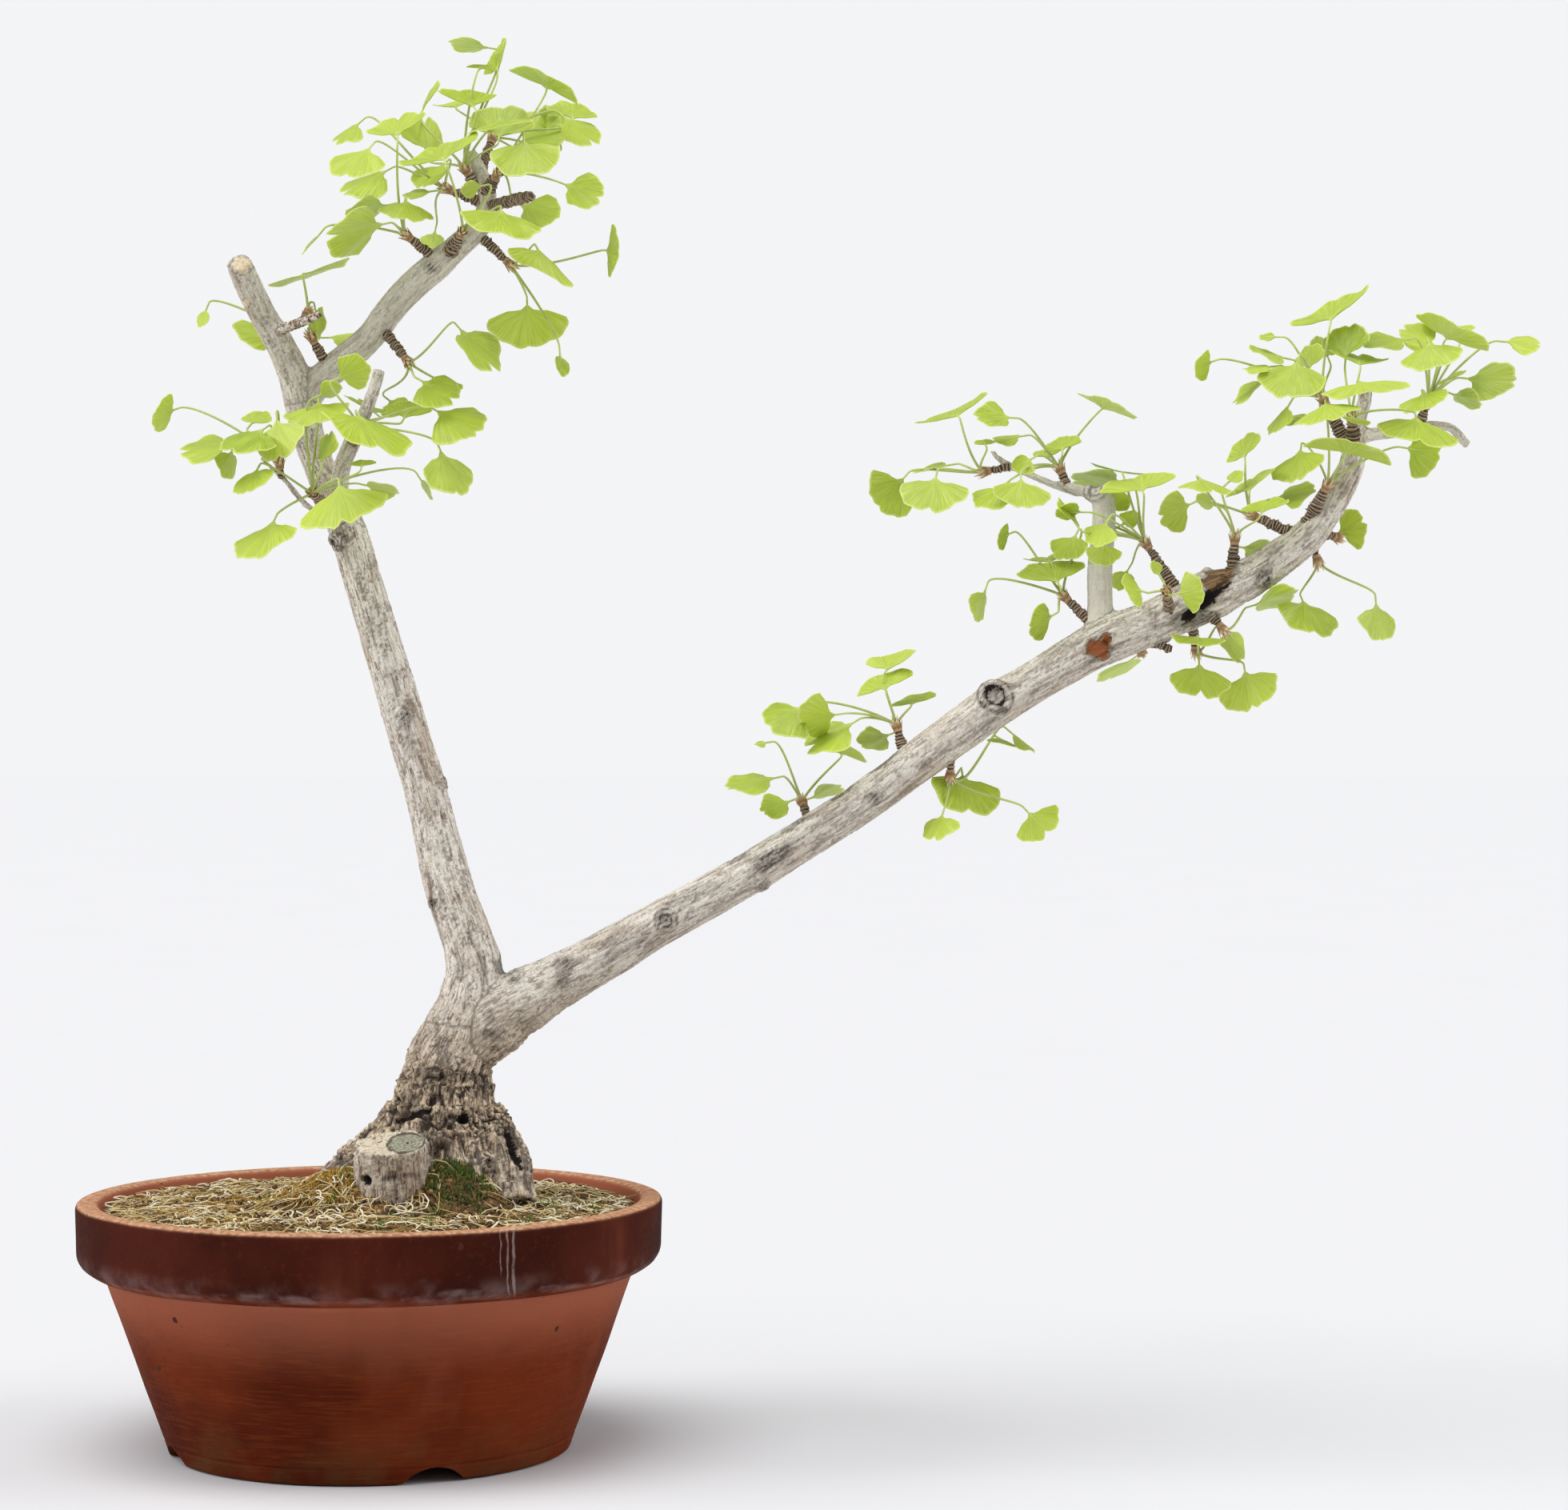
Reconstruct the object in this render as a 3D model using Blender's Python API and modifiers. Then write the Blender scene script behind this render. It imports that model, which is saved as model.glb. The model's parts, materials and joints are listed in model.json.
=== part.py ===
"""Ginkgo bonsai in a round clay pot: pot, soil, wood, and leafy sprays that grow from the spurs.

Metres, +Z up. The origin is the middle of the pot's flat foot, +X runs along the long branch
and -Y is the front. The pot is given by its real sizes. The plant is given by marks: places
read by eye on a front view, as (across, down) in that view's pixels, with a depth in mm added.
"""
import math
import random

import bpy
import bmesh
from mathutils import Vector

MM = 0.001
GAP = 0.0003

# The front view: a level eye in front of the pot, its pixels and its focal length in pixels
EYE = Vector((0.2128, -1.852, 0.3561))
VIEW_CENTRE = (980.0, 943.5)
VIEW_FOCAL = 4491.0

# Pot
RIM_RADIUS = 0.150
RIM_THICKNESS = 0.0115
RIM_BAND_HEIGHT = 0.0290
RIM_LIP_DROP = 0.0085
RIM_LIP_INSET = 0.0060
RIM_BAND_TAPER = 0.0005
POT_HEIGHT = 0.1285
FOOT_RADIUS = 0.1025
WALL_FLARE = 0.35
WALL_THICKNESS = 0.0115
FLOOR_THICKNESS = 0.0170
EDGE_ROUND = 0.0030
FOOT_CHAMFER = 0.0020
POT_STEPS = 32

# Drainage: four arched grooves under the foot, each running in to a hole
GROOVE_WIDTH = 0.0325
GROOVE_HEIGHT = 0.0080
GROOVE_INNER_END = 0.056
GROOVE_OVERRUN = 0.010
FIRST_GROOVE_ANGLE = math.radians(24.0)
GROOVE_COUNT = 4
DRAIN_HOLE_DIAMETER = 0.0140
DRAIN_HOLE_CIRCLE = 0.062

# Soil: from the wall up a slope to a low mound round the trunk
SOIL_EDGE_HEIGHT = 0.1225
SOIL_MOUND_HEIGHT = 0.1330
SOIL_MOUND_RADIUS = 0.050
SOIL_MOUND_CROWN = 0.0025
SOIL_SLOPE_RUN = 0.040
SOIL_SLOPE_RISE = 0.0035

# Leaves
BLADE_THICKNESS = 0.0008
BLADE_LENGTH_RATIO = 1.15
BLADE_CORNER_HEIGHT = 0.50
BLADE_SHOULDER = (0.40, 0.16)
BLADE_NOTCH = 0.10
BLADE_CREST = 0.04
BLADE_WAVE = 0.055
BLADE_CUP = (-0.10, 0.16)
MARGIN_ROUNDING = 0.8
LARGE_BLADE = 0.0272
SMALL_BLADE = 0.0125
PETIOLE_RADIUS = 0.00075
PETIOLE_LEAD = 0.0035
LONG_PETIOLE = 0.060

# How a stalk bends: handle length, pull along its spur, bow away from the blade, run into the
# blade, and the two turns (as cosines) past which it gets one more section
PETIOLE_HANDLE = 0.36
SPUR_PULL = (0.5, 1.5)
PETIOLE_BOW = 1.2
PETIOLE_RUN_IN = 0.7
TURN_STEPS = (0.3, -0.3)
BUD_RADIUS = 0.0036

# A limb gets two more sides, over four, for each of these radii that it passes
SIDE_STEP_RADII = (0.0052, 0.0105, 0.0280)

# Limbs: marks (across, down, depth, radius), depth in mm behind the pot's middle, the rest in pixels
LIMBS = {
    "trunk": [(556, 1560, 0, 92), (554, 1500, 0, 108), (552, 1460, -1, 103), (552, 1430, -1, 92),
              (553, 1400, 0, 79), (555, 1370, 0, 65), (561, 1335, 0, 57), (577, 1295, 0, 51),
              (590, 1262, 0, 43)],
    "left_stem": [(578, 1290, 0, 50), (590, 1250, 0, 42), (593, 1210, 1, 36), (583, 1170, 2, 32),
                  (563, 1115, 4, 31), (549, 1060, 6, 29), (535, 1000, 8, 27), (506, 900, 11, 26),
                  (476, 800, 14, 25), (452, 720, 15, 24), (437, 670, 14, 24), (418, 625, 12, 22),
                  (398, 580, 11, 20), (384, 540, 10, 20), (378, 505, 9, 22)],
    "sawn_stem": [(378, 505, 9, 22), (366, 465, 6, 20), (350, 430, 0, 18), (328, 392, -8, 17),
                  (310, 355, -20, 17), (298, 328, -32, 16)],
    "apex_stem": [(380, 500, 9, 20), (402, 474, 8, 19), (430, 450, 6, 19), (462, 422, 4, 18),
                  (490, 385, 2, 18), (518, 355, 0, 19), (545, 332, -1, 19), (572, 308, -2, 16),
                  (598, 284, -3, 15), (609, 258, -3, 13), (606, 232, -2, 11), (596, 206, 0, 9),
                  (588, 190, 2, 8)],
    "front_stem": [(424, 640, 6, 16), (424, 610, -6, 12), (428, 582, -12, 11), (440, 553, -18, 11),
                   (455, 520, -22, 9), (468, 485, -25, 8), (474, 462, -27, 8)],
    "right_branch": [(585, 1300, 0, 48), (615, 1275, -1, 47), (650, 1252, -3, 41),
                     (700, 1225, -5, 34), (760, 1192, -9, 31), (830, 1151, -13, 28),
                     (920, 1101, -17, 27), (1000, 1052, -20, 26), (1080, 1001, -22, 26),
                     (1160, 942, -23, 27), (1240, 884, -24, 28), (1300, 848, -24, 26),
                     (1350, 818, -24, 28), (1390, 797, -24, 30), (1440, 778, -24, 28),
                     (1480, 760, -23, 30), (1515, 742, -22, 32), (1550, 728, -21, 26),
                     (1590, 704, -19, 24), (1630, 674, -17, 22), (1655, 645, -15, 19),
                     (1675, 612, -13, 18), (1690, 580, -12, 16), (1692, 552, -11, 13),
                     (1698, 525, -10, 10), (1706, 500, -9, 9), (1708, 478, -8, 8)],
    "upright": [(1374, 790, -22, 20), (1375, 755, -20, 16), (1375, 710, -18, 16),
                (1379, 665, -16, 15), (1380, 635, -15, 15), (1376, 610, -15, 13)],
    "upright_twig": [(1378, 625, -15, 9), (1355, 614, -12, 7), (1334, 607, -9, 6),
                     (1328, 598, -7, 5.5)],
    "long_twig": [(1350, 618, -9, 5), (1310, 603, -6, 5), (1285, 592, -4, 5), (1262, 582, -2, 5),
                  (1247, 572, -1, 4), (1240, 563, 0, 3.5)],
    "end_branch": [(1692, 552, -11, 11), (1712, 543, -8, 9), (1740, 541, -4, 7), (1775, 533, 0, 6.5),
                   (1812, 534, 3, 6), (1835, 557, 5, 6)],
    "left_twig": [(420, 650, 8, 6), (385, 633, -6, 4.5), (356, 600, -10, 4), (325, 571, -12, 3)],
    "bare_spur": [(346, 414, -6, 7), (378, 402, -22, 6), (400, 393, -32, 5)],
    "stump": [(492, 1520, -40, 50), (490, 1480, -45, 48), (488, 1428, -50, 47)],
    "root_left": [(520, 1395, -2, 34), (455, 1440, -14, 24), (420, 1466, -22, 17),
                  (384, 1489, -30, 12), (360, 1510, -34, 10)],
    "root_right": [(600, 1400, -2, 34), (630, 1445, -16, 32), (638, 1505, -24, 34)],
    "root_back": [(553, 1380, 6, 36), (546, 1430, 34, 36), (540, 1500, 52, 34)],
    "root_back_left": [(535, 1400, 10, 34), (485, 1445, 30, 28), (440, 1500, 46, 20)],
}

# Limbs that reach into the soil
ROOTS = ["trunk", "stump", "root_left", "root_right", "root_back", "root_back_left"]

# Spurs: short side shoots from base to tip, marks as in LIMBS. The last two carry no leaves
SPURS = {
    "apex_1": [(537, 318, -4, 7), (514, 299, -10, 6)],
    "apex_2": [(562, 316, -8, 10), (575, 295, -19, 7)],
    "apex_3": [(598, 292, -2, 7), (632, 325, -4, 5.5)],
    "apex_4": [(596, 236, -2, 9), (586, 219, -4, 7)],
    "apex_5": [(608, 240, -4, 10), (619, 222, -12, 8)],
    "apex_6": [(600, 214, 2, 8), (613, 180, 12, 6)],
    "apex_7": [(604, 254, -3, 8), (566, 239, -9, 6)],
    "left_1": [(482, 415, 0, 7), (506, 447, -10, 6)],
    "left_2": [(442, 552, -20, 9), (448, 538, -32, 6)],
    "left_3": [(406, 632, 2, 8), (393, 619, -20, 6)],
    "left_4": [(352, 597, -10, 5), (350, 585, -13, 4.5)],
    "left_5": [(375, 403, -20, 5), (382, 394, -12, 4)],
    "left_6": [(345, 425, 4, 7), (332, 402, 20, 5.5)],
    "left_7": [(412, 462, 8, 8), (393, 428, -2, 6)],
    "mid_1": [(1130, 942, -22, 8), (1123, 915, -19, 6)],
    "mid_2": [(1012, 1030, -14, 8), (1005, 1008, -5, 6)],
    "mid_3": [(1188, 938, -22, 8), (1188, 962, -22, 6)],
    "cross_1": [(1262, 583, -2, 6), (1238, 588, -2, 5)],
    "cross_2": [(1334, 607, -9, 6.5), (1328, 593, -7, 6)],
    "cross_3": [(1360, 775, -22, 7), (1336, 751, -20, 6)],
    "cross_4": [(1475, 744, -23, 9), (1437, 686, -20, 6.5)],
    "cross_5": [(1462, 767, -29, 8), (1459, 744, -47, 6)],
    "cross_6": [(1540, 718, -22, 9), (1543, 681, -22, 7.5)],
    "cross_7": [(1612, 665, -17, 8), (1574, 648, -15, 7)],
    "end_1": [(1632, 658, -18, 10), (1655, 614, -24, 8)],
    "end_2": [(1684, 556, -11, 10), (1658, 506, -12, 7)],
    "end_3": [(1693, 560, -14, 10), (1690, 530, -20, 9)],
    "end_4": [(1772, 536, 0, 7), (1782, 510, -5, 6)],
    "end_5": [(1640, 678, -16, 7), (1645, 694, -16, 5)],
    "end_6": [(1648, 665, -14, 8), (1666, 670, -8, 6)],
    "low_1": [(1490, 778, -20, 8), (1494, 806, -14, 6)],
    "low_2": [(1512, 766, -26, 8), (1524, 781, -28, 6)],
    "low_3": [(1419, 796, -17, 7), (1426, 812, 4, 5)],
    "low_bare": [(1436, 800, -26, 7), (1465, 812, -27, 6)],
    "dark_stub": [(609, 258, -4, 7), (664, 245, -40, 8)],
}

# Leaves of each spur: (base across, base down, margin across, margin down, half width across,
# half width down, depth of the base behind its bud in mm, lean: -1 to the front, 1 to the back)
TUFTS = {
    "apex_1": [(480, 280, 412, 298, 12, -24, -14, -1), (487, 256, 432, 270, 5, -9, -4, -1),
               (508, 251, 512, 280, 34, 3, -21, -1), (400, 292, 379, 318, 4, 3, -8, -1),
               (497, 170, 494, 138, 38, -10, -14, 1)],
    "apex_2": [(555, 200, 540, 172, 50, -20, -28, 1), (626, 262, 630, 298, 51, 9, -24, -1),
               (603, 232, 577, 238, 2, -8, -14, -1)],
    "apex_3": [(672, 311, 698, 357, 36, 13, -10, -1), (758, 313, 776, 319, -3, 33, 4, -1),
               (659, 380, 662, 434, 51, -2, 6, -1), (700, 443, 702, 470, 8, 2, -12, -1)],
    "apex_4": [(600, 86, 604, 76, 21, 3, 6, 1), (622, 90, 624, 50, 15, -9, 10, 1),
               (612, 60, 563, 52, 1, -2, 14, -1), (624, 172, 628, 130, 43, 2, -14, 1),
               (592, 134, 570, 105, 36, -2, -10, 1), (528, 138, 540, 106, 15, -14, 20, 1),
               (535, 192, 528, 145, 24, 3, 14, 1), (625, 150, 628, 168, 41, -8, -22, -1)],
    "apex_5": [(705, 230, 752, 248, -12, 26, 2, -1), (655, 176, 661, 222, 46, -4, -26, -1),
               (650, 256, 695, 275, 14, -26, 12, -1), (683, 111, 686, 105, 44, 21, 8, -1)],
    "apex_6": [(650, 179, 698, 150, 20, 30, 6, 1), (700, 178, 690, 133, 24, 3, 16, 1),
               (716, 150, 712, 122, 32, 3, 6, 1), (704, 146, 742, 182, 18, -16, 0, -1),
               (570, 134, 566, 120, 30, -6, 18, 1)],
    "apex_7": [(541, 239, 505, 244, 5, 10, -6, -1), (544, 288, 537, 318, 17, 4, 24, 1),
               (463, 184, 434, 226, 38, 10, -28, -1), (484, 213, 430, 243, 15, 20, 4, -1),
               (556, 204, 527, 235, 25, 5, -2, -1), (450, 153, 420, 180, 14, 10, 14, -1)],
    "left_1": [(574, 410, 620, 462, 18, -12, -6, -1), (527, 476, 570, 500, 18, -20, -14, -1),
               (560, 478, 578, 482, 3, 7, 2, 1), (486, 500, 506, 516, 14, -12, 26, -1)],
    "left_2": [(422, 473, 460, 456, 10, 18, -14, -1), (448, 518, 482, 565, 50, 12, -20, -1),
               (545, 513, 598, 543, 24, -26, 8, -1), (550, 562, 574, 617, 28, -4, -2, -1),
               (470, 517, 442, 494, 22, 6, 16, 1), (505, 523, 515, 498, 32, 3, 18, 1)],
    "left_3": [(424, 606, 434, 660, 59, -17, -28, -1), (343, 650, 326, 700, 44, -7, -10, -1),
               (322, 586, 310, 616, 28, -6, -12, -1), (403, 578, 411, 541, 17, -3, -14, 1),
               (398, 503, 400, 535, 42, -7, -4, -1), (398, 495, 426, 483, 3, 8, -8, 1),
               (525, 598, 541, 623, 4, -3, 16, -1), (455, 606, 497, 615, 2, 8, -10, -1),
               (452, 583, 452, 573, 18, -1, -16, 1)],
    "left_4": [(292, 556, 228, 562, 6, 22, -4, -1), (290, 562, 283, 598, 9, 2, 2, -1),
               (330, 536, 292, 568, 34, 10, -14, -1), (346, 523, 352, 574, 35, -9, -22, -1),
               (218, 512, 195, 524, -8, 22, 6, -1), (314, 530, 326, 512, 20, 3, 10, 1)],
    "left_5": [(380, 342, 384, 333, 54, -17, 0, 1)],
    "left_7": [(394, 386, 402, 420, 13, -12, 10, -1), (410, 422, 450, 421, 3, 12, 30, 1)],
    "left_6": [(352, 418, 296, 416, 12, 24, 6, -1), (258, 386, 249, 408, 10, 4, 4, -1)],
    "mid_1": [(1003, 884, 962, 910, 22, 22, -4, -1), (1045, 893, 998, 900, 4, 28, -12, -1),
              (1067, 903, 1010, 938, 10, 16, -6, -1), (1112, 918, 1076, 932, 12, 14, 10, 1),
              (1107, 862, 1105, 843, 37, -14, -4, 1), (1108, 838, 1128, 812, 30, -5, 6, 1),
              (1140, 880, 1148, 866, 28, -6, 10, 1)],
    "mid_2": [(970, 972, 910, 985, 8, 13, -4, -1), (988, 1001, 954, 1014, 12, 14, 8, -1),
              (958, 928, 945, 930, 2, 4, 4, -1), (1012, 998, 1052, 983, 3, 9, 10, 1),
              (1052, 943, 1053, 932, 32, 9, 0, -1)],
    "mid_3": [(1203, 968, 1210, 1015, 46, 8, 12, -1), (1285, 1015, 1309, 1042, 26, -20, -4, -1),
              (1178, 1018, 1167, 1050, 21, -1, -6, -1), (1248, 922, 1262, 931, 22, 5, 22, -1),
              (1262, 914, 1292, 940, 3, -3, 26, -1)],
    "cross_1": [(1130, 597, 1098, 634, 26, 24, 2, -1), (1170, 596, 1160, 641, 43, 4, -12, -1),
                (1188, 581, 1142, 588, 3, -6, 10, 1), (1197, 520, 1187, 507, 46, -20, 4, 1),
                (1232, 556, 1230, 548, 14, -1, -14, 1)],
    "cross_2": [(1264, 522, 1220, 520, 6, 19, -6, -1), (1278, 545, 1242, 550, 4, -9, 6, 1),
                (1290, 573, 1267, 586, 8, 12, -8, -1), (1328, 563, 1330, 545, 24, -6, -4, 1),
                (1311, 571, 1310, 560, 19, -4, 8, 1), (1378, 511, 1388, 505, 38, 16, 4, -1),
                (1276, 598, 1276, 634, 38, 4, -20, -1), (1255, 607, 1226, 634, 22, 8, -16, -1)],
    "cross_3": [(1322, 728, 1306, 700, 43, -8, -8, 1), (1232, 736, 1219, 775, 12, 5, 2, -1),
                (1316, 769, 1287, 786, 1, 23, -6, -1), (1313, 702, 1310, 692, 31, -6, 8, 1),
                (1262, 667, 1246, 674, 2, -17, 10, -1), (1345, 668, 1328, 699, 22, 4, 6, -1)],
    "cross_4": [(1428, 614, 1424, 594, 50, -10, -16, 1), (1384, 652, 1366, 681, 18, 7, -22, -1),
                (1380, 678, 1376, 706, 22, 3, -14, -1), (1404, 603, 1340, 597, 4, 12, 22, 1),
                (1402, 590, 1402, 583, 38, 7, 10, 1), (1386, 640, 1400, 612, 17, 8, 14, 1),
                (1402, 656, 1424, 643, 6, 10, 20, 1), (1345, 655, 1328, 626, 15, 8, -18, 1),
                (1352, 640, 1320, 640, 3, -9, -16, -1), (1410, 712, 1395, 736, 11, 5, 18, -1)],
    "cross_5": [(1428, 739, 1404, 733, 6, 22, 0, -1), (1471, 742, 1503, 736, 4, 27, -6, -1),
                (1450, 720, 1440, 702, 8, -4, 4, 1)],
    "cross_6": [(1520, 632, 1496, 624, 4, 9, -14, 1), (1577, 641, 1590, 620, 29, -4, -18, 1),
                (1552, 684, 1587, 690, 5, -13, 34, 1), (1500, 598, 1514, 620, 38, 2, -14, -1),
                (1535, 603, 1551, 588, 6, 5, 6, 1)],
    "cross_7": [(1488, 630, 1450, 648, 8, 24, -4, -1), (1556, 572, 1557, 544, 19, -13, 4, 1),
                (1562, 613, 1570, 592, 30, -17, -6, 1), (1597, 622, 1641, 612, 4, -17, 10, -1)],
    "end_1": [(1626, 561, 1617, 603, 31, -8, 10, -1), (1657, 504, 1653, 531, 41, -10, -23, -1),
              (1682, 568, 1680, 559, 55, 12, -12, -1), (1758, 560, 1799, 567, 6, -36, -8, -1)],
    "end_2": [(1664, 400, 1678, 366, 45, -20, 4, 1), (1622, 451, 1606, 497, 42, 6, -20, -1),
              (1608, 448, 1562, 440, 6, 14, 6, -1), (1592, 458, 1555, 461, 2, 8, -8, -1),
              (1515, 452, 1492, 461, 0, 18, 2, -1), (1596, 421, 1575, 420, 4, -7, 8, 1),
              (1636, 462, 1640, 430, 16, -3, 12, 1), (1580, 472, 1543, 503, 5, 5, 4, -1),
              (1612, 505, 1590, 542, 7, 3, 0, -1), (1640, 518, 1600, 527, 4, 7, 14, -1),
              (1660, 447, 1651, 420, 19, 0, 22, 1)],
    "end_3": [(1700, 477, 1704, 495, 57, -8, -14, -1), (1700, 456, 1704, 437, 38, 6, 6, 1),
              (1690, 521, 1698, 533, 19, 2, -12, -1), (1682, 448, 1687, 406, 27, 0, 16, 1),
              (1770, 521, 1767, 556, 53, 10, -20, -1)],
    "end_4": [(1786, 428, 1788, 464, 39, -8, -16, -1), (1760, 424, 1704, 433, 7, 17, 4, -1),
              (1793, 432, 1754, 410, 19, -17, 14, 1), (1820, 418, 1802, 396, 34, 3, 20, 1),
              (1808, 424, 1812, 416, 48, 23, 2, -1), (1880, 427, 1924, 432, 4, -16, 2, -1),
              (1833, 473, 1892, 480, 2, -21, 4, -1), (1778, 492, 1776, 513, 30, -10, -18, -1),
              (1814, 492, 1850, 507, 2, -6, 10, -1), (1806, 478, 1824, 465, 16, -7, 16, 1)],
    "end_5": [(1720, 753, 1723, 800, 29, 1, -2, -1), (1628, 750, 1640, 792, 42, 7, 4, -1)],
    "end_6": [(1672, 667, 1704, 652, 8, 26, 6, -1)],
    "low_1": [(1499, 829, 1499, 870, 41, 4, -6, -1), (1556, 838, 1562, 885, 35, -14, -2, -1),
              (1528, 789, 1553, 824, 16, -8, 6, -1), (1497, 796, 1492, 806, 35, 3, -19, -1)],
    "low_2": [(1566, 757, 1620, 741, 4, -15, 6, 1)],
    "low_3": [(1418, 822, 1386, 847, 29, -8, 10, 1)],
}

# Colour, roughness, metallic
LOOKS = {
    "clay": ((0.30, 0.105, 0.050, 1.0), 0.85, 0.0),
    "soil": ((0.18, 0.13, 0.07, 1.0), 0.95, 0.0),
    "bark": ((0.52, 0.46, 0.38, 1.0), 0.90, 0.0),
    "leaf": ((0.30, 0.42, 0.05, 1.0), 0.55, 0.0),
}


def start_empty():
    """Remove every object of the scene."""
    for thing in list(bpy.data.objects):
        bpy.data.objects.remove(thing, do_unlink=True)


def new_collection(name):
    group = bpy.data.collections.new(name)
    bpy.context.scene.collection.children.link(group)
    return group


def new_material(name, look):
    colour, roughness, metallic = LOOKS[look]
    material = bpy.data.materials.new(name)
    material.use_nodes = True
    shader = material.node_tree.nodes["Principled BSDF"]
    shader.inputs["Base Color"].default_value = colour
    shader.inputs["Roughness"].default_value = roughness
    shader.inputs["Metallic"].default_value = metallic
    return material


def seen(across, down, depth):
    """The place, in metres, of a mark on the front view at a depth in mm behind the middle."""
    y = depth * MM
    scale = (y - EYE.y) / VIEW_FOCAL
    return Vector((EYE.x + (across - VIEW_CENTRE[0]) * scale, y,
                   EYE.z - (down - VIEW_CENTRE[1]) * scale))


def seen_size(pixels, depth):
    return pixels * (depth * MM - EYE.y) / VIEW_FOCAL


def mesh_object(name, bm, group):
    """A named object from a bmesh, which is freed."""
    mesh = bpy.data.meshes.new(name)
    bm.to_mesh(mesh)
    bm.free()
    thing = bpy.data.objects.new(name, mesh)
    group.objects.link(thing)
    return thing


def turned(name, profile, steps, group):
    """A closed turned solid: the profile runs down its outer side, from axis to axis."""
    bm = bmesh.new()
    points = [bm.verts.new((radius, 0.0, height)) for radius, height in profile]
    for first, second in zip(points, points[1:]):
        bm.edges.new((first, second))
    thing = mesh_object(name, bm, group)
    screw = thing.modifiers.new("turn", "SCREW")
    screw.axis = "Z"
    screw.steps = steps
    screw.render_steps = steps
    screw.use_merge_vertices = True
    screw.merge_threshold = 0.00005
    return thing


def applied(thing):
    """Turn what the modifiers make into the object's own mesh."""
    view = bpy.context.evaluated_depsgraph_get()
    mesh = bpy.data.meshes.new_from_object(thing.evaluated_get(view))
    thing.modifiers.clear()
    thing.data = mesh
    return thing


def tube(name, places, radii, sides_level, group):
    """A tapered tube along the places, with its caps closed, as a mesh object."""
    curve = bpy.data.curves.new(name, "CURVE")
    curve.dimensions = "3D"
    curve.bevel_depth = 1.0
    curve.bevel_resolution = sides_level
    curve.use_fill_caps = True
    spline = curve.splines.new("POLY")
    spline.points.add(len(places) - 1)
    for point, place, radius in zip(spline.points, places, radii):
        point.co = (*place, 1.0)
        point.radius = radius
    guide = bpy.data.objects.new(name + "_line", curve)
    group.objects.link(guide)
    view = bpy.context.evaluated_depsgraph_get()
    mesh = bpy.data.meshes.new_from_object(guide.evaluated_get(view))
    bm = bmesh.new()
    bm.from_mesh(mesh)
    bmesh.ops.remove_doubles(bm, verts=bm.verts, dist=0.00001)
    bm.to_mesh(mesh)
    bm.free()
    thing = bpy.data.objects.new(name, mesh)
    thing.matrix_world = guide.matrix_world
    group.objects.link(thing)
    bpy.data.objects.remove(guide, do_unlink=True)
    return thing


def boolean(thing, others, operation, solver="EXACT"):
    """Join the others to the thing, or cut them from it, and remove them."""
    change = thing.modifiers.new(operation.lower(), "BOOLEAN")
    change.operation = operation
    change.operand_type = "COLLECTION"
    change.collection = others
    change.solver = solver
    applied(thing)
    for other in list(others.objects):
        bpy.data.objects.remove(other, do_unlink=True)
    bpy.data.collections.remove(others)
    return thing


def as_cutter(thing):
    thing.hide_render = True
    thing.display_type = "WIRE"
    return thing


def wall_radius(height):
    """Outer radius of the pot's wall under the rim band."""
    return FOOT_RADIUS + WALL_FLARE * height


def inner_radius(height):
    """Inner radius of the pot at a height: one slope from the floor to the rim."""
    floor_radius = wall_radius(FLOOR_THICKNESS) - WALL_THICKNESS
    rim_radius = RIM_RADIUS - RIM_THICKNESS
    share = (height - FLOOR_THICKNESS) / (POT_HEIGHT - FLOOR_THICKNESS)
    return floor_radius + (rim_radius - floor_radius) * share


def pot_profile():
    band_edge = POT_HEIGHT - RIM_BAND_HEIGHT
    band_foot = band_edge - RIM_LIP_DROP
    return [(0.0, FLOOR_THICKNESS),
            (inner_radius(FLOOR_THICKNESS) - EDGE_ROUND, FLOOR_THICKNESS),
            (inner_radius(FLOOR_THICKNESS + EDGE_ROUND), FLOOR_THICKNESS + EDGE_ROUND),
            (inner_radius(POT_HEIGHT - EDGE_ROUND), POT_HEIGHT - EDGE_ROUND),
            (inner_radius(POT_HEIGHT) + EDGE_ROUND, POT_HEIGHT),
            (RIM_RADIUS - EDGE_ROUND, POT_HEIGHT),
            (RIM_RADIUS, POT_HEIGHT - EDGE_ROUND),
            (RIM_RADIUS - RIM_BAND_TAPER, band_edge),
            (RIM_RADIUS - RIM_LIP_INSET, band_edge - RIM_LIP_DROP / 2),
            (wall_radius(band_foot), band_foot),
            (wall_radius(FOOT_CHAMFER), FOOT_CHAMFER),
            (FOOT_RADIUS - FOOT_CHAMFER, 0.0),
            (0.0, 0.0)]


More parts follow.
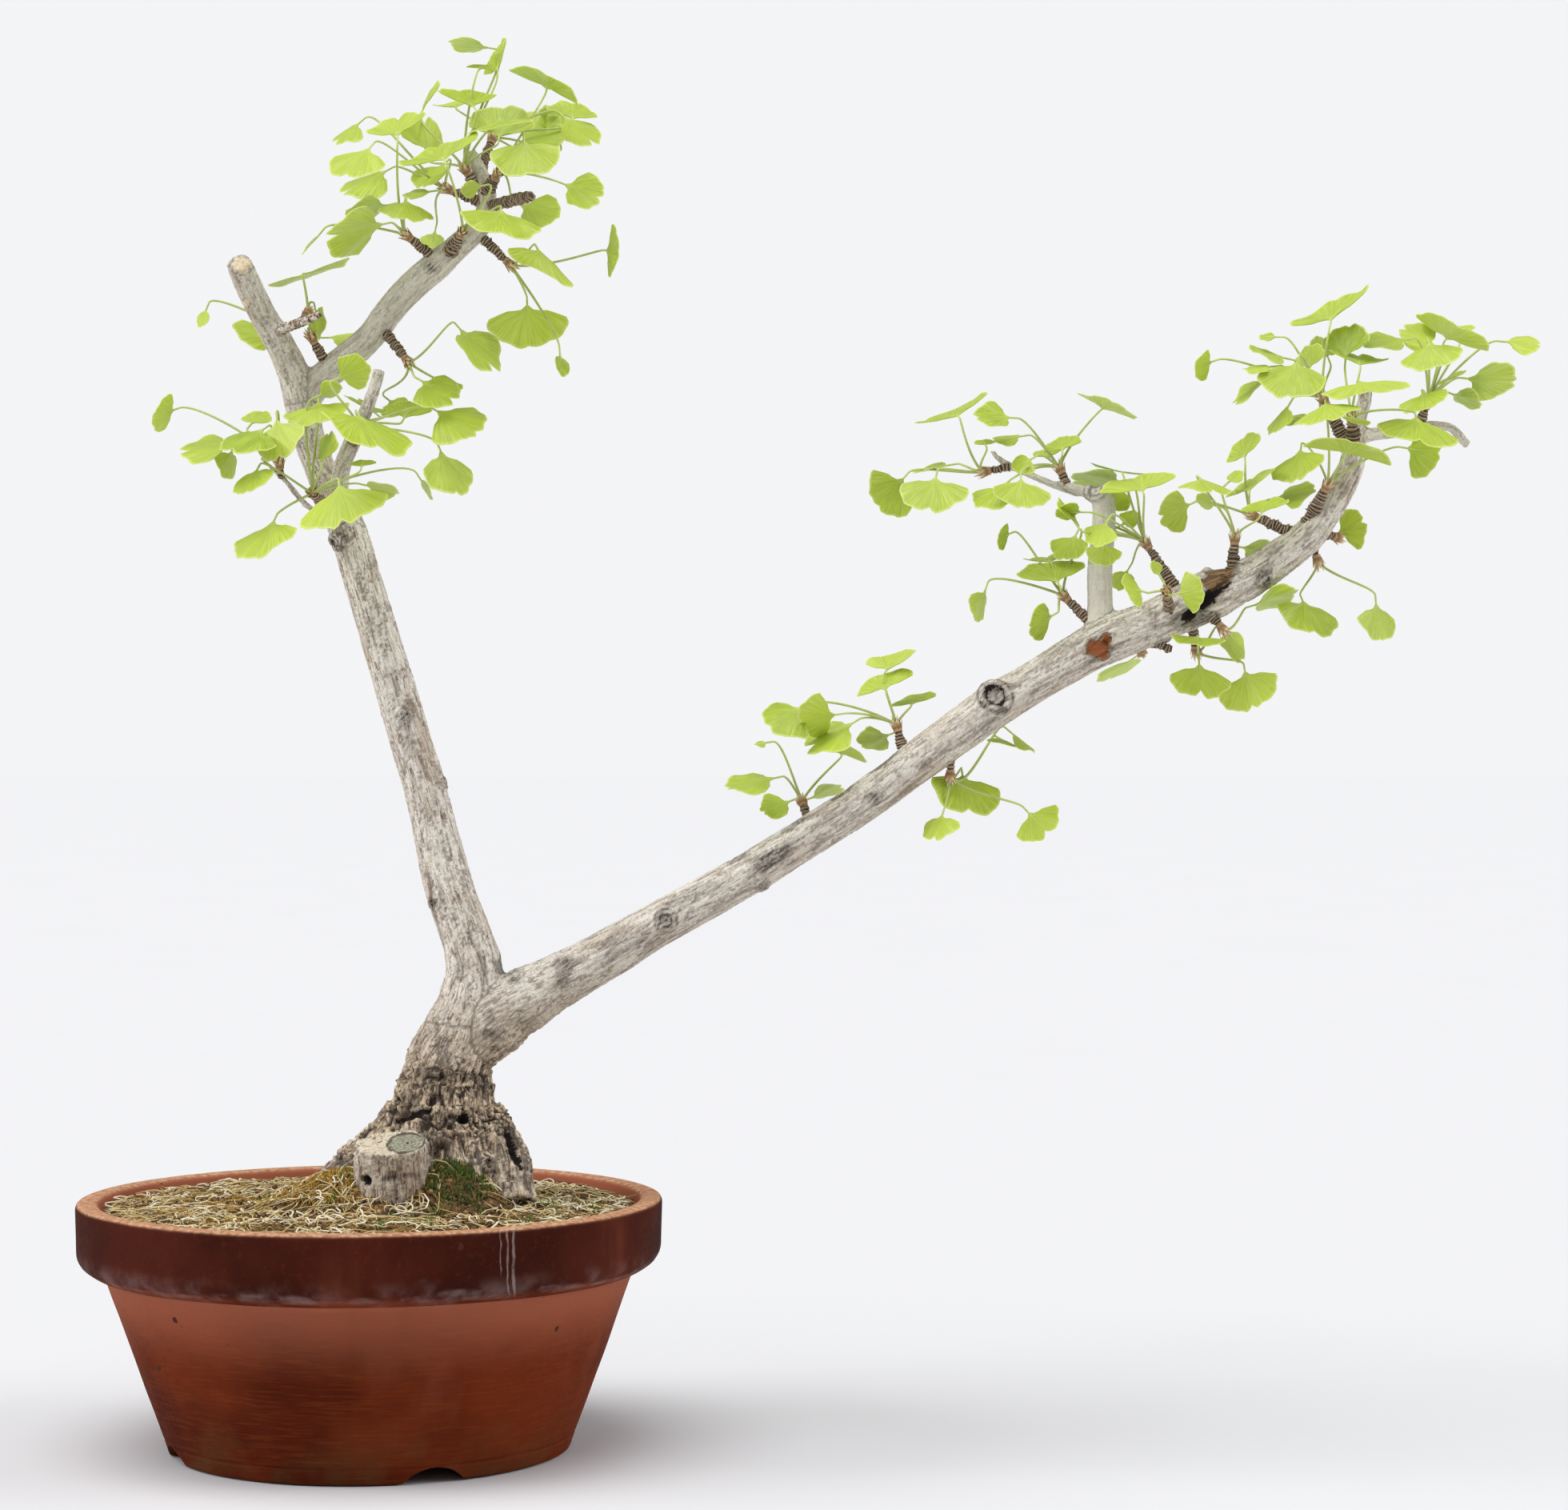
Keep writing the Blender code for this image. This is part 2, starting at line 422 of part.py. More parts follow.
def drain_cutters(group):
    """A lying cylinder for each arched groove and a standing one for each drain hole."""
    rise = GROOVE_HEIGHT
    radius = ((GROOVE_WIDTH / 2) ** 2 + rise ** 2) / (2 * rise)
    outer_end = FOOT_RADIUS + GROOVE_OVERRUN
    for index in range(GROOVE_COUNT):
        angle = FIRST_GROOVE_ANGLE + index * math.tau / GROOVE_COUNT
        out = Vector((math.sin(angle), -math.cos(angle), 0.0))
        bpy.ops.mesh.primitive_cylinder_add(vertices=24, radius=radius,
                                            depth=outer_end - GROOVE_INNER_END,
                                            rotation=(math.pi / 2, 0.0, angle))
        groove = bpy.context.object
        groove.location = out * (outer_end + GROOVE_INNER_END) / 2
        groove.location.z = rise - radius
        bpy.ops.mesh.primitive_cylinder_add(vertices=16, radius=DRAIN_HOLE_DIAMETER / 2,
                                            depth=3 * FLOOR_THICKNESS,
                                            location=out * DRAIN_HOLE_CIRCLE)
        for cutter in (groove, bpy.context.object):
            for owner in cutter.users_collection:
                owner.objects.unlink(cutter)
            group.objects.link(as_cutter(cutter))


def build_pot(group):
    pot = turned("pot", pot_profile(), POT_STEPS, group)
    cutters = new_collection("drain_cutters")
    drain_cutters(cutters)
    bpy.context.view_layer.update()
    boolean(pot, cutters, "DIFFERENCE")
    pot.data.materials.clear()
    pot.data.materials.append(new_material("pot_clay", "clay"))
    return pot


def limb_tube(name, marks, group, grown=0.0):
    """A tube along a limb's marks, with more sides where it is thicker."""
    places = [seen(*mark[:3]) for mark in marks]
    radii = [seen_size(mark[3], mark[2]) for mark in marks]
    sides_level = sum(max(radii) > bound for bound in SIDE_STEP_RADII)
    if grown:
        places[0] += (places[0] - places[1]).normalized() * grown
        places[-1] += (places[-1] - places[-2]).normalized() * grown
    return tube(name, places, [radius + grown for radius in radii], sides_level, group)


def build_wood(group):
    """Trunk, roots, stump, branches and spurs, joined into the one body that grew."""
    wood = limb_tube("wood", LIMBS["trunk"], group)
    parts = new_collection("wood_parts")
    for name, marks in LIMBS.items():
        if name != "trunk":
            limb_tube(name, marks, parts)
    for name, marks in SPURS.items():
        limb_tube("spur_" + name, marks, parts)
    boolean(wood, parts, "UNION", "MANIFOLD")
    wood.data.materials.clear()
    wood.data.materials.append(new_material("wood_bark", "bark"))
    return wood


def soil_profile():
    floor = FLOOR_THICKNESS + GAP
    low_side = inner_radius(floor + EDGE_ROUND) - 2 * GAP
    return [(0.0, SOIL_MOUND_HEIGHT),
            (SOIL_MOUND_RADIUS, SOIL_MOUND_HEIGHT - SOIL_MOUND_CROWN),
            (SOIL_MOUND_RADIUS + SOIL_SLOPE_RUN, SOIL_EDGE_HEIGHT + SOIL_SLOPE_RISE),
            (inner_radius(SOIL_EDGE_HEIGHT) - 2 * GAP, SOIL_EDGE_HEIGHT),
            (low_side, floor + EDGE_ROUND),
            (low_side - EDGE_ROUND - 3 * GAP, floor),
            (0.0, floor)]


def build_soil(group):
    """Soil that fills the pot, with a pocket for the trunk's foot and the roots."""
    soil = turned("soil", soil_profile(), POT_STEPS, group)
    applied(soil)
    pockets = new_collection("root_pockets")
    for name in ROOTS:
        as_cutter(limb_tube("pocket_" + name, LIMBS[name], pockets, GAP))
    boolean(soil, pockets, "DIFFERENCE")
    soil.data.materials.clear()
    soil.data.materials.append(new_material("soil_mix", "soil"))
    return soil


def leaf_frame(row, bud_depth):
    """Base, axis and half-width vectors of a blade, from how its marks look on the front view.

    A blade is a fan whose length is a fixed share of its half width. Its axis and its half
    width are at right angles, so their parts along the depth follow from the marks.
    """
    base_x, base_z, margin_x, margin_z, half_x, half_z, depth, lean = row
    base_depth = bud_depth + depth
    base = seen(base_x, base_z, base_depth)
    axis = seen(margin_x, margin_z, base_depth) - base
    half = seen(base_x + half_x, base_z + half_z, base_depth) - base
    crossed = axis.dot(half)
    excess = axis.length_squared - BLADE_LENGTH_RATIO ** 2 * half.length_squared
    root = math.sqrt(excess ** 2 + (2 * BLADE_LENGTH_RATIO * crossed) ** 2)
    axis_depth = math.sqrt(max((root - excess) / 2, 0.0))
    half_depth = math.sqrt(max((root + excess) / 2, 0.0)) / BLADE_LENGTH_RATIO
    turn = -1.0 if crossed > 0 else 1.0
    axis.y = lean * axis_depth
    half.y = lean * turn * half_depth
    return base, axis, half


def blade_outline(half_width):
    """Outline of a fan blade, from its right shoulder round the waved margin to the left one.

    Each point is (share of the half width, share of the length, share of the wave).
    """
    steps = 3 if half_width > LARGE_BLADE else 2 if half_width > SMALL_BLADE else 1
    side = [(BLADE_SHOULDER[0], BLADE_SHOULDER[1], 0.2)]
    for step in range(steps, 0, -1):
        turn = step / steps * math.pi / 2
        crest = BLADE_CREST if step == 1 else 0.0
        rise = BLADE_CORNER_HEIGHT + (1 - BLADE_CORNER_HEIGHT) * math.cos(turn) ** MARGIN_ROUNDING + crest
        side.append((math.sin(turn), rise, (-1.0) ** step))
    left = [(-across, along, wave) for across, along, wave in reversed(side)]
    return side + [(0.0, 1.0 - BLADE_NOTCH, -0.6)] + left


def petiole_line(bud, along_spur, base, axis, normal):
    """Places along a stalk: it leaves the bud with the spur and runs straight into the blade.

    Where the blade turns back over its stalk, the stalk bows out to the side that the bud is on.
    """
    ahead = axis.normalized()
    lead = base - ahead * PETIOLE_LEAD
    reach = lead - bud
    toward = reach.normalized()
    turn = toward.dot(ahead)
    span = reach.length * PETIOLE_HANDLE
    pull = SPUR_PULL[0] + SPUR_PULL[1] * max(0.0, -toward.dot(along_spur))
    leave = (along_spur * pull + toward).normalized()
    bow = normal * math.copysign(max(0.0, -turn), normal.dot(bud - base))
    handle_a = bud + leave * span
    handle_b = lead + (bow * PETIOLE_BOW - ahead * PETIOLE_RUN_IN) * span
    steps = 1 + (turn < TURN_STEPS[0] or reach.length > LONG_PETIOLE) + (turn < TURN_STEPS[1])
    places = []
    for step in range(steps + 1):
        t = step / steps
        places.append(bud * (1 - t) ** 3 + handle_a * 3 * t * (1 - t) ** 2
                      + handle_b * 3 * t * t * (1 - t) + lead * t ** 3)
    return places + [base]


def petiole_frames(line, side):
    """(right, up) of the stalk's section at each place, carried back from the blade's side."""
    frames = []
    right = side
    for index in range(len(line) - 1, -1, -1):
        ahead = (line[min(index + 1, len(line) - 1)] - line[max(index - 1, 0)]).normalized()
        right = (right - ahead * right.dot(ahead)).normalized()
        frames.append((right, right.cross(ahead)))
    return frames[::-1]


def build_leaf(name, row, spur, rng, group):
    """One leaf as a loft: a four-sided stalk whose last section opens into a waved fan.

    The stalk's left and right corners start the blade's outline, and its top and bottom
    corners are the points from which the blade's two faces spread, alike on both.
    """
    bud, along_spur = bud_place(spur)
    base, axis, half = leaf_frame(row, spur[-1][2])
    side = half.normalized()
    normal = side.cross(axis).normalized()
    line = petiole_line(bud, along_spur, base, axis, normal)
    bm = bmesh.new()
    sections = []
    for place, (right, up) in zip(line, petiole_frames(line, side)):
        sections.append([bm.verts.new(place + offset * PETIOLE_RADIUS)
                         for offset in (right, up, -right, -up)])
    bm.faces.new(sections[0])
    for near, far in zip(sections, sections[1:]):
        for corner in range(4):
            after = (corner + 1) % 4
            bm.faces.new((near[corner], far[corner], far[after], near[after]))
    right, top, left, bottom = sections[-1]
    wave = BLADE_WAVE * half.length * rng.choice((-1.0, 1.0))
    cup = rng.uniform(*BLADE_CUP) * half.length
    upper, lower = [], []
    for across, along, waved in blade_outline(half.length):
        place = (base + half * across + axis * along
                 + normal * (wave * waved * along + cup * across * across))
        upper.append(bm.verts.new(place + normal * BLADE_THICKNESS / 2))
        lower.append(bm.verts.new(place - normal * BLADE_THICKNESS / 2))
    for first, second in zip([right] + upper, upper + [left]):
        bm.faces.new((top, first, second))
    for first, second in zip([right] + lower, lower + [left]):
        bm.faces.new((bottom, second, first))
    bm.faces.new((right, lower[0], upper[0]))
    bm.faces.new((left, upper[-1], lower[-1]))
    for index in range(len(upper) - 1):
        bm.faces.new((upper[index], lower[index], lower[index + 1], upper[index + 1]))
    bmesh.ops.triangulate(bm, faces=bm.faces)
    bmesh.ops.recalc_face_normals(bm, faces=bm.faces)
    if bm.calc_volume(signed=True) < 0:
        bmesh.ops.reverse_faces(bm, faces=bm.faces)
    return mesh_object(name, bm, group)


def bud_place(spur):
    """Centre of the bud on a spur, just clear of its tip, and the spur's direction there."""
    tip = seen(*spur[-1][:3])
    along = (tip - seen(*spur[-2][:3])).normalized()
    return tip + along * (BUD_RADIUS + GAP), along


def build_tuft(spur_name, group, parts):
    """The bud of one spur with its leaves, as loose pieces to be joined."""
    rng = random.Random("tuft " + spur_name)
    spur = SPURS[spur_name]
    place, along = bud_place(spur)
    bm = bmesh.new()
    bmesh.ops.create_icosphere(bm, subdivisions=1, radius=BUD_RADIUS)
    for vert in bm.verts:
        vert.co += place
    bud = mesh_object("leaves_" + spur_name, bm, group)
    for index, row in enumerate(TUFTS[spur_name]):
        build_leaf(f"{spur_name}_{index}", row, spur, rng, parts)
    return bud


def build_sprays(group):
    sprays = []
    for name in TUFTS:
        parts = new_collection("parts_" + name)
        spray = build_tuft(name, group, parts)
        boolean(spray, parts, "UNION", "MANIFOLD")
        spray.data.materials.clear()
        spray.data.materials.append(new_material("green_" + name, "leaf"))
        sprays.append(spray)
    return sprays


def build_bonsai():
    start_empty()
    group = new_collection("ginkgo_bonsai")
    build_pot(group)
    build_wood(group)
    build_soil(group)
    build_sprays(group)


build_bonsai()
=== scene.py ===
"""Looks of the ginkgo bonsai: a clay pot, mossy soil, barked wood and veined fan leaves.

The plant is given by the same marks as its CAD solids: places read on the front view,
as (across, down) in pixels, with a depth in mm behind the middle of the pot.
"""

import json
import math
import random

import bmesh
import bpy
import numpy as np
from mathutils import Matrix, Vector, noise

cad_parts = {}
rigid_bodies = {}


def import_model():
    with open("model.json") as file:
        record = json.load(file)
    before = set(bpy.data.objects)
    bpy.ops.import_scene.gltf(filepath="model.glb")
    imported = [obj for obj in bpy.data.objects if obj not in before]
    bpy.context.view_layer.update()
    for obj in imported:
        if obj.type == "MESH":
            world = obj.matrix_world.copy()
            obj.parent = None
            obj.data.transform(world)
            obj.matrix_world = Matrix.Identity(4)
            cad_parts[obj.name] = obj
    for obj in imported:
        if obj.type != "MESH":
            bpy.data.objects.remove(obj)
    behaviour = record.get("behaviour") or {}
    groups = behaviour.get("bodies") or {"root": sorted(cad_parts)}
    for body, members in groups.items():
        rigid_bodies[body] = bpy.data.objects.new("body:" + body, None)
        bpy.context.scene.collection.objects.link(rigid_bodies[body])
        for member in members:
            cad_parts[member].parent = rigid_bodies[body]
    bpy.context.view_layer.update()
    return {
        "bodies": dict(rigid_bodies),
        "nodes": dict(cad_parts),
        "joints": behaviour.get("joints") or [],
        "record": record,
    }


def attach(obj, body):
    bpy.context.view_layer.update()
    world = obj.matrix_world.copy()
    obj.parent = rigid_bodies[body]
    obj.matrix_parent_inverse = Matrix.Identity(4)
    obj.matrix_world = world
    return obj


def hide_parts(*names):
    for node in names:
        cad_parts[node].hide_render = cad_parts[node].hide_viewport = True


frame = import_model()

MM = 0.001

# The front view: a level eye in front of the pot, its pixels and its focal length in pixels
EYE = Vector((0.2128, -1.852, 0.3561))
VIEW_WIDTH = 1960.0
VIEW_CENTRE = (980.0, 943.5)
VIEW_FOCAL = 4491.0
SENSOR_WIDTH = 36.0

# Pot
RIM_RADIUS = 0.150
RIM_THICKNESS = 0.0115
RIM_BAND_HEIGHT = 0.0290
RIM_LIP_DROP = 0.0085
POT_HEIGHT = 0.1285
FOOT_RADIUS = 0.1025
WALL_FLARE = 0.35
WALL_THICKNESS = 0.0115
FLOOR_THICKNESS = 0.0170
FOOT_CHAMFER = 0.0020
FOOT_LINE_HEIGHT = 0.0085
FOOT_LINE_DEPTH = 0.0007
FOOT_LINE_HALF_WIDTH = 0.0012
POT_STEPS = 192
CORNER_STEPS = 5
LONGEST_PROFILE_STEP = 0.006
THROWN_WAVER = 0.00045
POT_SHARP_ANGLE = 38
# Pale drips down the band: place across, half width, lowest point, and how far they fade
CLAY_DRIPS = ((0.0800, 0.0006, 0.0935), (0.0826, 0.0009, 0.0925), (0.0772, 0.0004, 0.105))
DRIP_FADE = 0.006

# Drainage: four arched grooves under the foot, each running in to a hole
GROOVE_WIDTH = 0.0325
GROOVE_HEIGHT = 0.0080
GROOVE_INNER_END = 0.056
FIRST_GROOVE_ANGLE = math.radians(24.0)
GROOVE_COUNT = 4
DRAIN_HOLE_DIAMETER = 0.0140
DRAIN_HOLE_CIRCLE = 0.062

# Soil: heights of its top at some distances from the pot's middle
SOIL_RINGS = (0.0, 0.050, 0.090, 0.1374)
SOIL_HEIGHTS = (0.1330, 0.1305, 0.1260, 0.1228)
SOIL_TILT = 0.010
# The moss cushion between stump and trunk: middle across, middle along, reach
CUSHION = (0.048, -0.046, 0.021)
# Piles on the soil: middle across, middle along, reach, rise
SOIL_PILES = ((0.000, -0.032, 0.062, 0.0085), (0.046, -0.036, 0.036, 0.0200),
              (-0.015, -0.038, 0.034, 0.0060))
SOIL_LUMP = 0.0016
SOIL_GRAIN = 0.0009
SOIL_EDGE_HEIGHT = 0.1225
SOIL_EDGE_GAP = 0.0004
SOIL_WALL_GAP = 0.0008
SOIL_RING_COUNT = 74
SOIL_STEPS = 220
LITTER_REACH = 0.134
# Strands: how many, shortest, longest, radius, curl, lift, steps, and the range of their tone
STRANDS = ((1150, 0.010, 0.034, 0.00048, 5.5, 0.0034, 8, 0.72, 1.0),
           (620, 0.006, 0.020, 0.00040, 9.0, 0.0026, 7, 0.60, 0.95),
           (560, 0.014, 0.046, 0.00036, 1.2, 0.0040, 4, 0.42, 0.70),
           (900, 0.008, 0.024, 0.00034, 0.8, 0.0030, 3, 0.0, 0.30))
# Strands paler than this tone are dry moss, which leaves bare patches
DRY_MOSS_TONE = 0.6
CRUMBS = 1500
CRUMB_RADII = (0.0006, 0.0019)
# Beds of moss: middle across, middle along, reach, how many blades, and the range of their tone
MOSS_BEDS = ((0.046, -0.042, 0.020, 2300, 0.0, 0.55), (0.066, -0.030, 0.014, 420, 0.05, 0.5),
             (-0.013, -0.045, 0.024, 1700, 0.72, 1.0), (-0.040, -0.036, 0.022, 700, 0.75, 1.0),
             (0.026, -0.086, 0.016, 220, 0.3, 0.6), (-0.085, -0.030, 0.030, 700, 0.8, 1.0),
             (-0.070, 0.040, 0.030, 400, 0.5, 0.95), (0.095, 0.000, 0.025, 300, 0.2, 0.6),
             (0.030, 0.050, 0.020, 300, 0.1, 0.6), (-0.060, -0.090, 0.022, 300, 0.6, 1.0))
# Small green shoots in the soil, where they show on the front view
SPROUTS = ((410, 1510), (432, 1503), (684, 1497), (694, 1503), (530, 1520), (548, 1512),
           (600, 1508), (742, 1500), (330, 1500), (655, 1515), (470, 1524))
SPROUT_HEIGHT = 0.131
SPROUT_BLADES = 9

# Leaves
BLADE_THICKNESS = 0.0005
BLADE_LENGTH_RATIO = 1.15
BLADE_CORNER_HEIGHT = 0.50
BLADE_CREST = 0.04
BLADE_WAVE = 0.055
LARGE_BLADE = 0.0272
SMALL_BLADE = 0.0125
PETIOLE_RADIUS = 0.00075
PETIOLE_LEAD = 0.0035
BUD_RADIUS = 0.0036
GAP = 0.0003
FAN_COLUMNS = 31
FAN_ROWS = 8
BLADE_SHARP_ANGLE = 55
PETIOLE_STEPS = 14
PETIOLE_SIDES = 8
# Bud scales: how many in each ring, and their half width in radians from foot to tip
BUD_RINGS = (6, 5, 4)
BUD_SCALE_WIDTHS = (0.55, 0.60, 0.50, 0.30, 0.05)

# Wood
VOXEL = 0.00137
LIMB_SIDES = 28
LIMB_SPACING = 0.0025
SPUR_SIDES = 18
SPUR_SPACING = 0.0005
SPUR_RING_WIDTH = 0.0016
# Points measured against a limb at one time
BLOCK = 4000
# Relief of the bark in metres: fine cracks and flakes, and the plates and gaps of the rough base
CRACK_DEPTH = 0.00055
FLAKE_LIFT = 0.00028
PLATE_LIFT = 0.0028
GAP_DEPTH = 0.0030
# Lumps of a limb, as a share of its radius
LUMP_SHARE = 0.035
# How deep the stump's ribs are drawn in, in metres
RIB_DEPTH = 0.0012
# How even and pale the bark of some limbs is, from 0 to 1
EVEN_BARK = {"upright": 0.95, "right_branch": 0.25, "left_stem": 0.10, "upright_twig": 0.7,
             "long_twig": 0.5, "apex_stem": 0.55, "sawn_stem": 0.35, "front_stem": 0.25,
             "end_branch": 0.4}
# The stump: radius of its sawn face in pixels, ribs on its side, and the heart on its face, as
# middle across, half width and half depth in shares of that radius
STUMP_FACE = 46
STUMP_RIBS = 27
STUMP_HEART = (0.45, 0.50, 0.80)
# How far a feature of the bark reaches, in shares of its own size
FEATURE_REACH = {"knot": 2.2, "dark": 1.7, "wound": 1.35, "hole": 1.5, "cut": 1.05}
# How near, in pixels, a point of the wood must show to a feature's place to be its middle
SPOT_REACH = 3.0

# Lights: name, angle round the object, height above the floor, strength and softness
LIGHTS = (("ceiling", -25, 72, 1.85, 50), ("left", -84, 24, 1.30, 35), ("right", 86, 24, 1.05, 35))
WORLD_STRENGTH = 0.36
FLOOR_REACH = 60.0
FLOOR_DROP = 0.0004

# Limbs: marks (across, down, depth, radius), depth in mm behind the pot's middle, the rest in pixels
LIMBS = {
    "trunk": [(556, 1560, 0, 92), (554, 1500, 0, 108), (552, 1460, -1, 103), (552, 1430, -1, 92),
              (553, 1400, 0, 79), (555, 1370, 0, 65), (561, 1335, 0, 57), (577, 1295, 0, 51),
              (590, 1262, 0, 43)],
    "left_stem": [(578, 1290, 0, 50), (590, 1250, 0, 42), (593, 1210, 1, 36), (583, 1170, 2, 32),
                  (563, 1115, 4, 31), (549, 1060, 6, 29), (535, 1000, 8, 27), (506, 900, 11, 26),
                  (476, 800, 14, 25), (452, 720, 15, 24), (437, 670, 14, 24), (418, 625, 12, 22),
                  (398, 580, 11, 20), (384, 540, 10, 20), (378, 505, 9, 22)],
    "sawn_stem": [(378, 505, 9, 22), (366, 465, 6, 20), (350, 430, 0, 18), (328, 392, -8, 17),
                  (310, 355, -20, 17), (298, 328, -32, 16)],
    "apex_stem": [(380, 500, 9, 20), (402, 474, 8, 19), (430, 450, 6, 19), (462, 422, 4, 18),
                  (490, 385, 2, 18), (518, 355, 0, 19), (545, 332, -1, 19), (572, 308, -2, 16),
                  (598, 284, -3, 15), (609, 258, -3, 13), (606, 232, -2, 11), (596, 206, 0, 9),
                  (588, 190, 2, 8)],
    "front_stem": [(424, 640, 6, 16), (424, 610, -6, 12), (428, 582, -12, 11), (440, 553, -18, 11),
                   (455, 520, -22, 9), (468, 485, -25, 8), (474, 462, -27, 8)],
    "right_branch": [(585, 1300, 0, 48), (615, 1275, -1, 47), (650, 1252, -3, 41),
                     (700, 1225, -5, 34), (760, 1192, -9, 31), (830, 1151, -13, 28),
                     (920, 1101, -17, 27), (1000, 1052, -20, 26), (1080, 1001, -22, 26),
                     (1160, 942, -23, 27), (1240, 884, -24, 28), (1300, 848, -24, 26),
                     (1350, 818, -24, 28), (1390, 797, -24, 30), (1440, 778, -24, 28),
                     (1480, 760, -23, 30), (1515, 742, -22, 32), (1550, 728, -21, 26),
                     (1590, 704, -19, 24), (1630, 674, -17, 22), (1655, 645, -15, 19),
                     (1675, 612, -13, 18), (1690, 580, -12, 16), (1692, 552, -11, 13),
                     (1698, 525, -10, 10), (1706, 500, -9, 9), (1708, 478, -8, 8)],
    "upright": [(1374, 790, -22, 20), (1375, 755, -20, 16), (1375, 710, -18, 16),
                (1379, 665, -16, 15), (1380, 635, -15, 15), (1376, 610, -15, 13)],
    "upright_twig": [(1378, 625, -15, 9), (1355, 614, -12, 7), (1334, 607, -9, 6),
                     (1328, 598, -7, 5.5)],
    "long_twig": [(1350, 618, -9, 5), (1310, 603, -6, 5), (1285, 592, -4, 5), (1262, 582, -2, 5),
                  (1247, 572, -1, 4), (1240, 563, 0, 3.5)],
    "end_branch": [(1692, 552, -11, 11), (1712, 543, -8, 9), (1740, 541, -4, 7), (1775, 533, 0, 6.5),
                   (1812, 534, 3, 6), (1835, 557, 5, 6)],
    "left_twig": [(420, 650, 8, 6), (385, 633, -6, 4.5), (356, 600, -10, 4), (325, 571, -12, 3)],
    "bare_spur": [(346, 414, -6, 7), (378, 402, -22, 6), (400, 393, -32, 5)],
    "stump": [(492, 1520, -40, 50), (490, 1480, -45, 48), (488, 1428, -50, 47)],
    "root_left": [(520, 1395, -2, 34), (455, 1440, -14, 24), (420, 1466, -22, 17),
                  (384, 1489, -30, 12), (360, 1510, -34, 10)],
    "root_right": [(600, 1400, -2, 34), (630, 1445, -16, 32), (638, 1505, -24, 34)],
    "root_back": [(553, 1380, 6, 36), (546, 1430, 34, 36), (540, 1500, 52, 34)],
    "root_back_left": [(535, 1400, 10, 34), (485, 1445, 30, 28), (440, 1500, 46, 20)],
}

# Spurs: short side shoots from base to tip, marks as in LIMBS. The last two carry no leaves
SPURS = {
    "apex_1": [(537, 318, -4, 7), (514, 299, -10, 6)],
    "apex_2": [(562, 316, -8, 10), (575, 295, -19, 7)],
    "apex_3": [(598, 292, -2, 7), (632, 325, -4, 5.5)],
    "apex_4": [(596, 236, -2, 9), (586, 219, -4, 7)],
    "apex_5": [(608, 240, -4, 10), (619, 222, -12, 8)],
    "apex_6": [(600, 214, 2, 8), (613, 180, 12, 6)],
    "apex_7": [(604, 254, -3, 8), (566, 239, -9, 6)],
    "left_1": [(482, 415, 0, 7), (506, 447, -10, 6)],
    "left_2": [(442, 552, -20, 9), (448, 538, -32, 6)],
    "left_3": [(406, 632, 2, 8), (393, 619, -20, 6)],
    "left_4": [(352, 597, -10, 5), (350, 585, -13, 4.5)],
    "left_5": [(375, 403, -20, 5), (382, 394, -12, 4)],
    "left_6": [(345, 425, 4, 7), (332, 402, 20, 5.5)],
    "left_7": [(412, 462, 8, 8), (393, 428, -2, 6)],
    "mid_1": [(1130, 942, -22, 8), (1123, 915, -19, 6)],
    "mid_2": [(1012, 1030, -14, 8), (1005, 1008, -5, 6)],
    "mid_3": [(1188, 938, -22, 8), (1188, 962, -22, 6)],
    "cross_1": [(1262, 583, -2, 6), (1238, 588, -2, 5)],
    "cross_2": [(1334, 607, -9, 6.5), (1328, 593, -7, 6)],
    "cross_3": [(1360, 775, -22, 7), (1336, 751, -20, 6)],
    "cross_4": [(1475, 744, -23, 9), (1437, 686, -20, 6.5)],
    "cross_5": [(1462, 767, -29, 8), (1459, 744, -47, 6)],
    "cross_6": [(1540, 718, -22, 9), (1543, 681, -22, 7.5)],
    "cross_7": [(1612, 665, -17, 8), (1574, 648, -15, 7)],
    "end_1": [(1632, 658, -18, 10), (1655, 614, -24, 8)],
    "end_2": [(1684, 556, -11, 10), (1658, 506, -12, 7)],
    "end_3": [(1693, 560, -14, 10), (1690, 530, -20, 9)],
    "end_4": [(1772, 536, 0, 7), (1782, 510, -5, 6)],
    "end_5": [(1640, 678, -16, 7), (1645, 694, -16, 5)],
    "end_6": [(1648, 665, -14, 8), (1666, 670, -8, 6)],
    "low_1": [(1490, 778, -20, 8), (1494, 806, -14, 6)],
    "low_2": [(1512, 766, -26, 8), (1524, 781, -28, 6)],
    "low_3": [(1419, 796, -17, 7), (1426, 812, 4, 5)],
    "low_bare": [(1436, 800, -26, 7), (1465, 812, -27, 6)],
    "dark_stub": [(609, 258, -4, 7), (664, 245, -40, 8)],
}

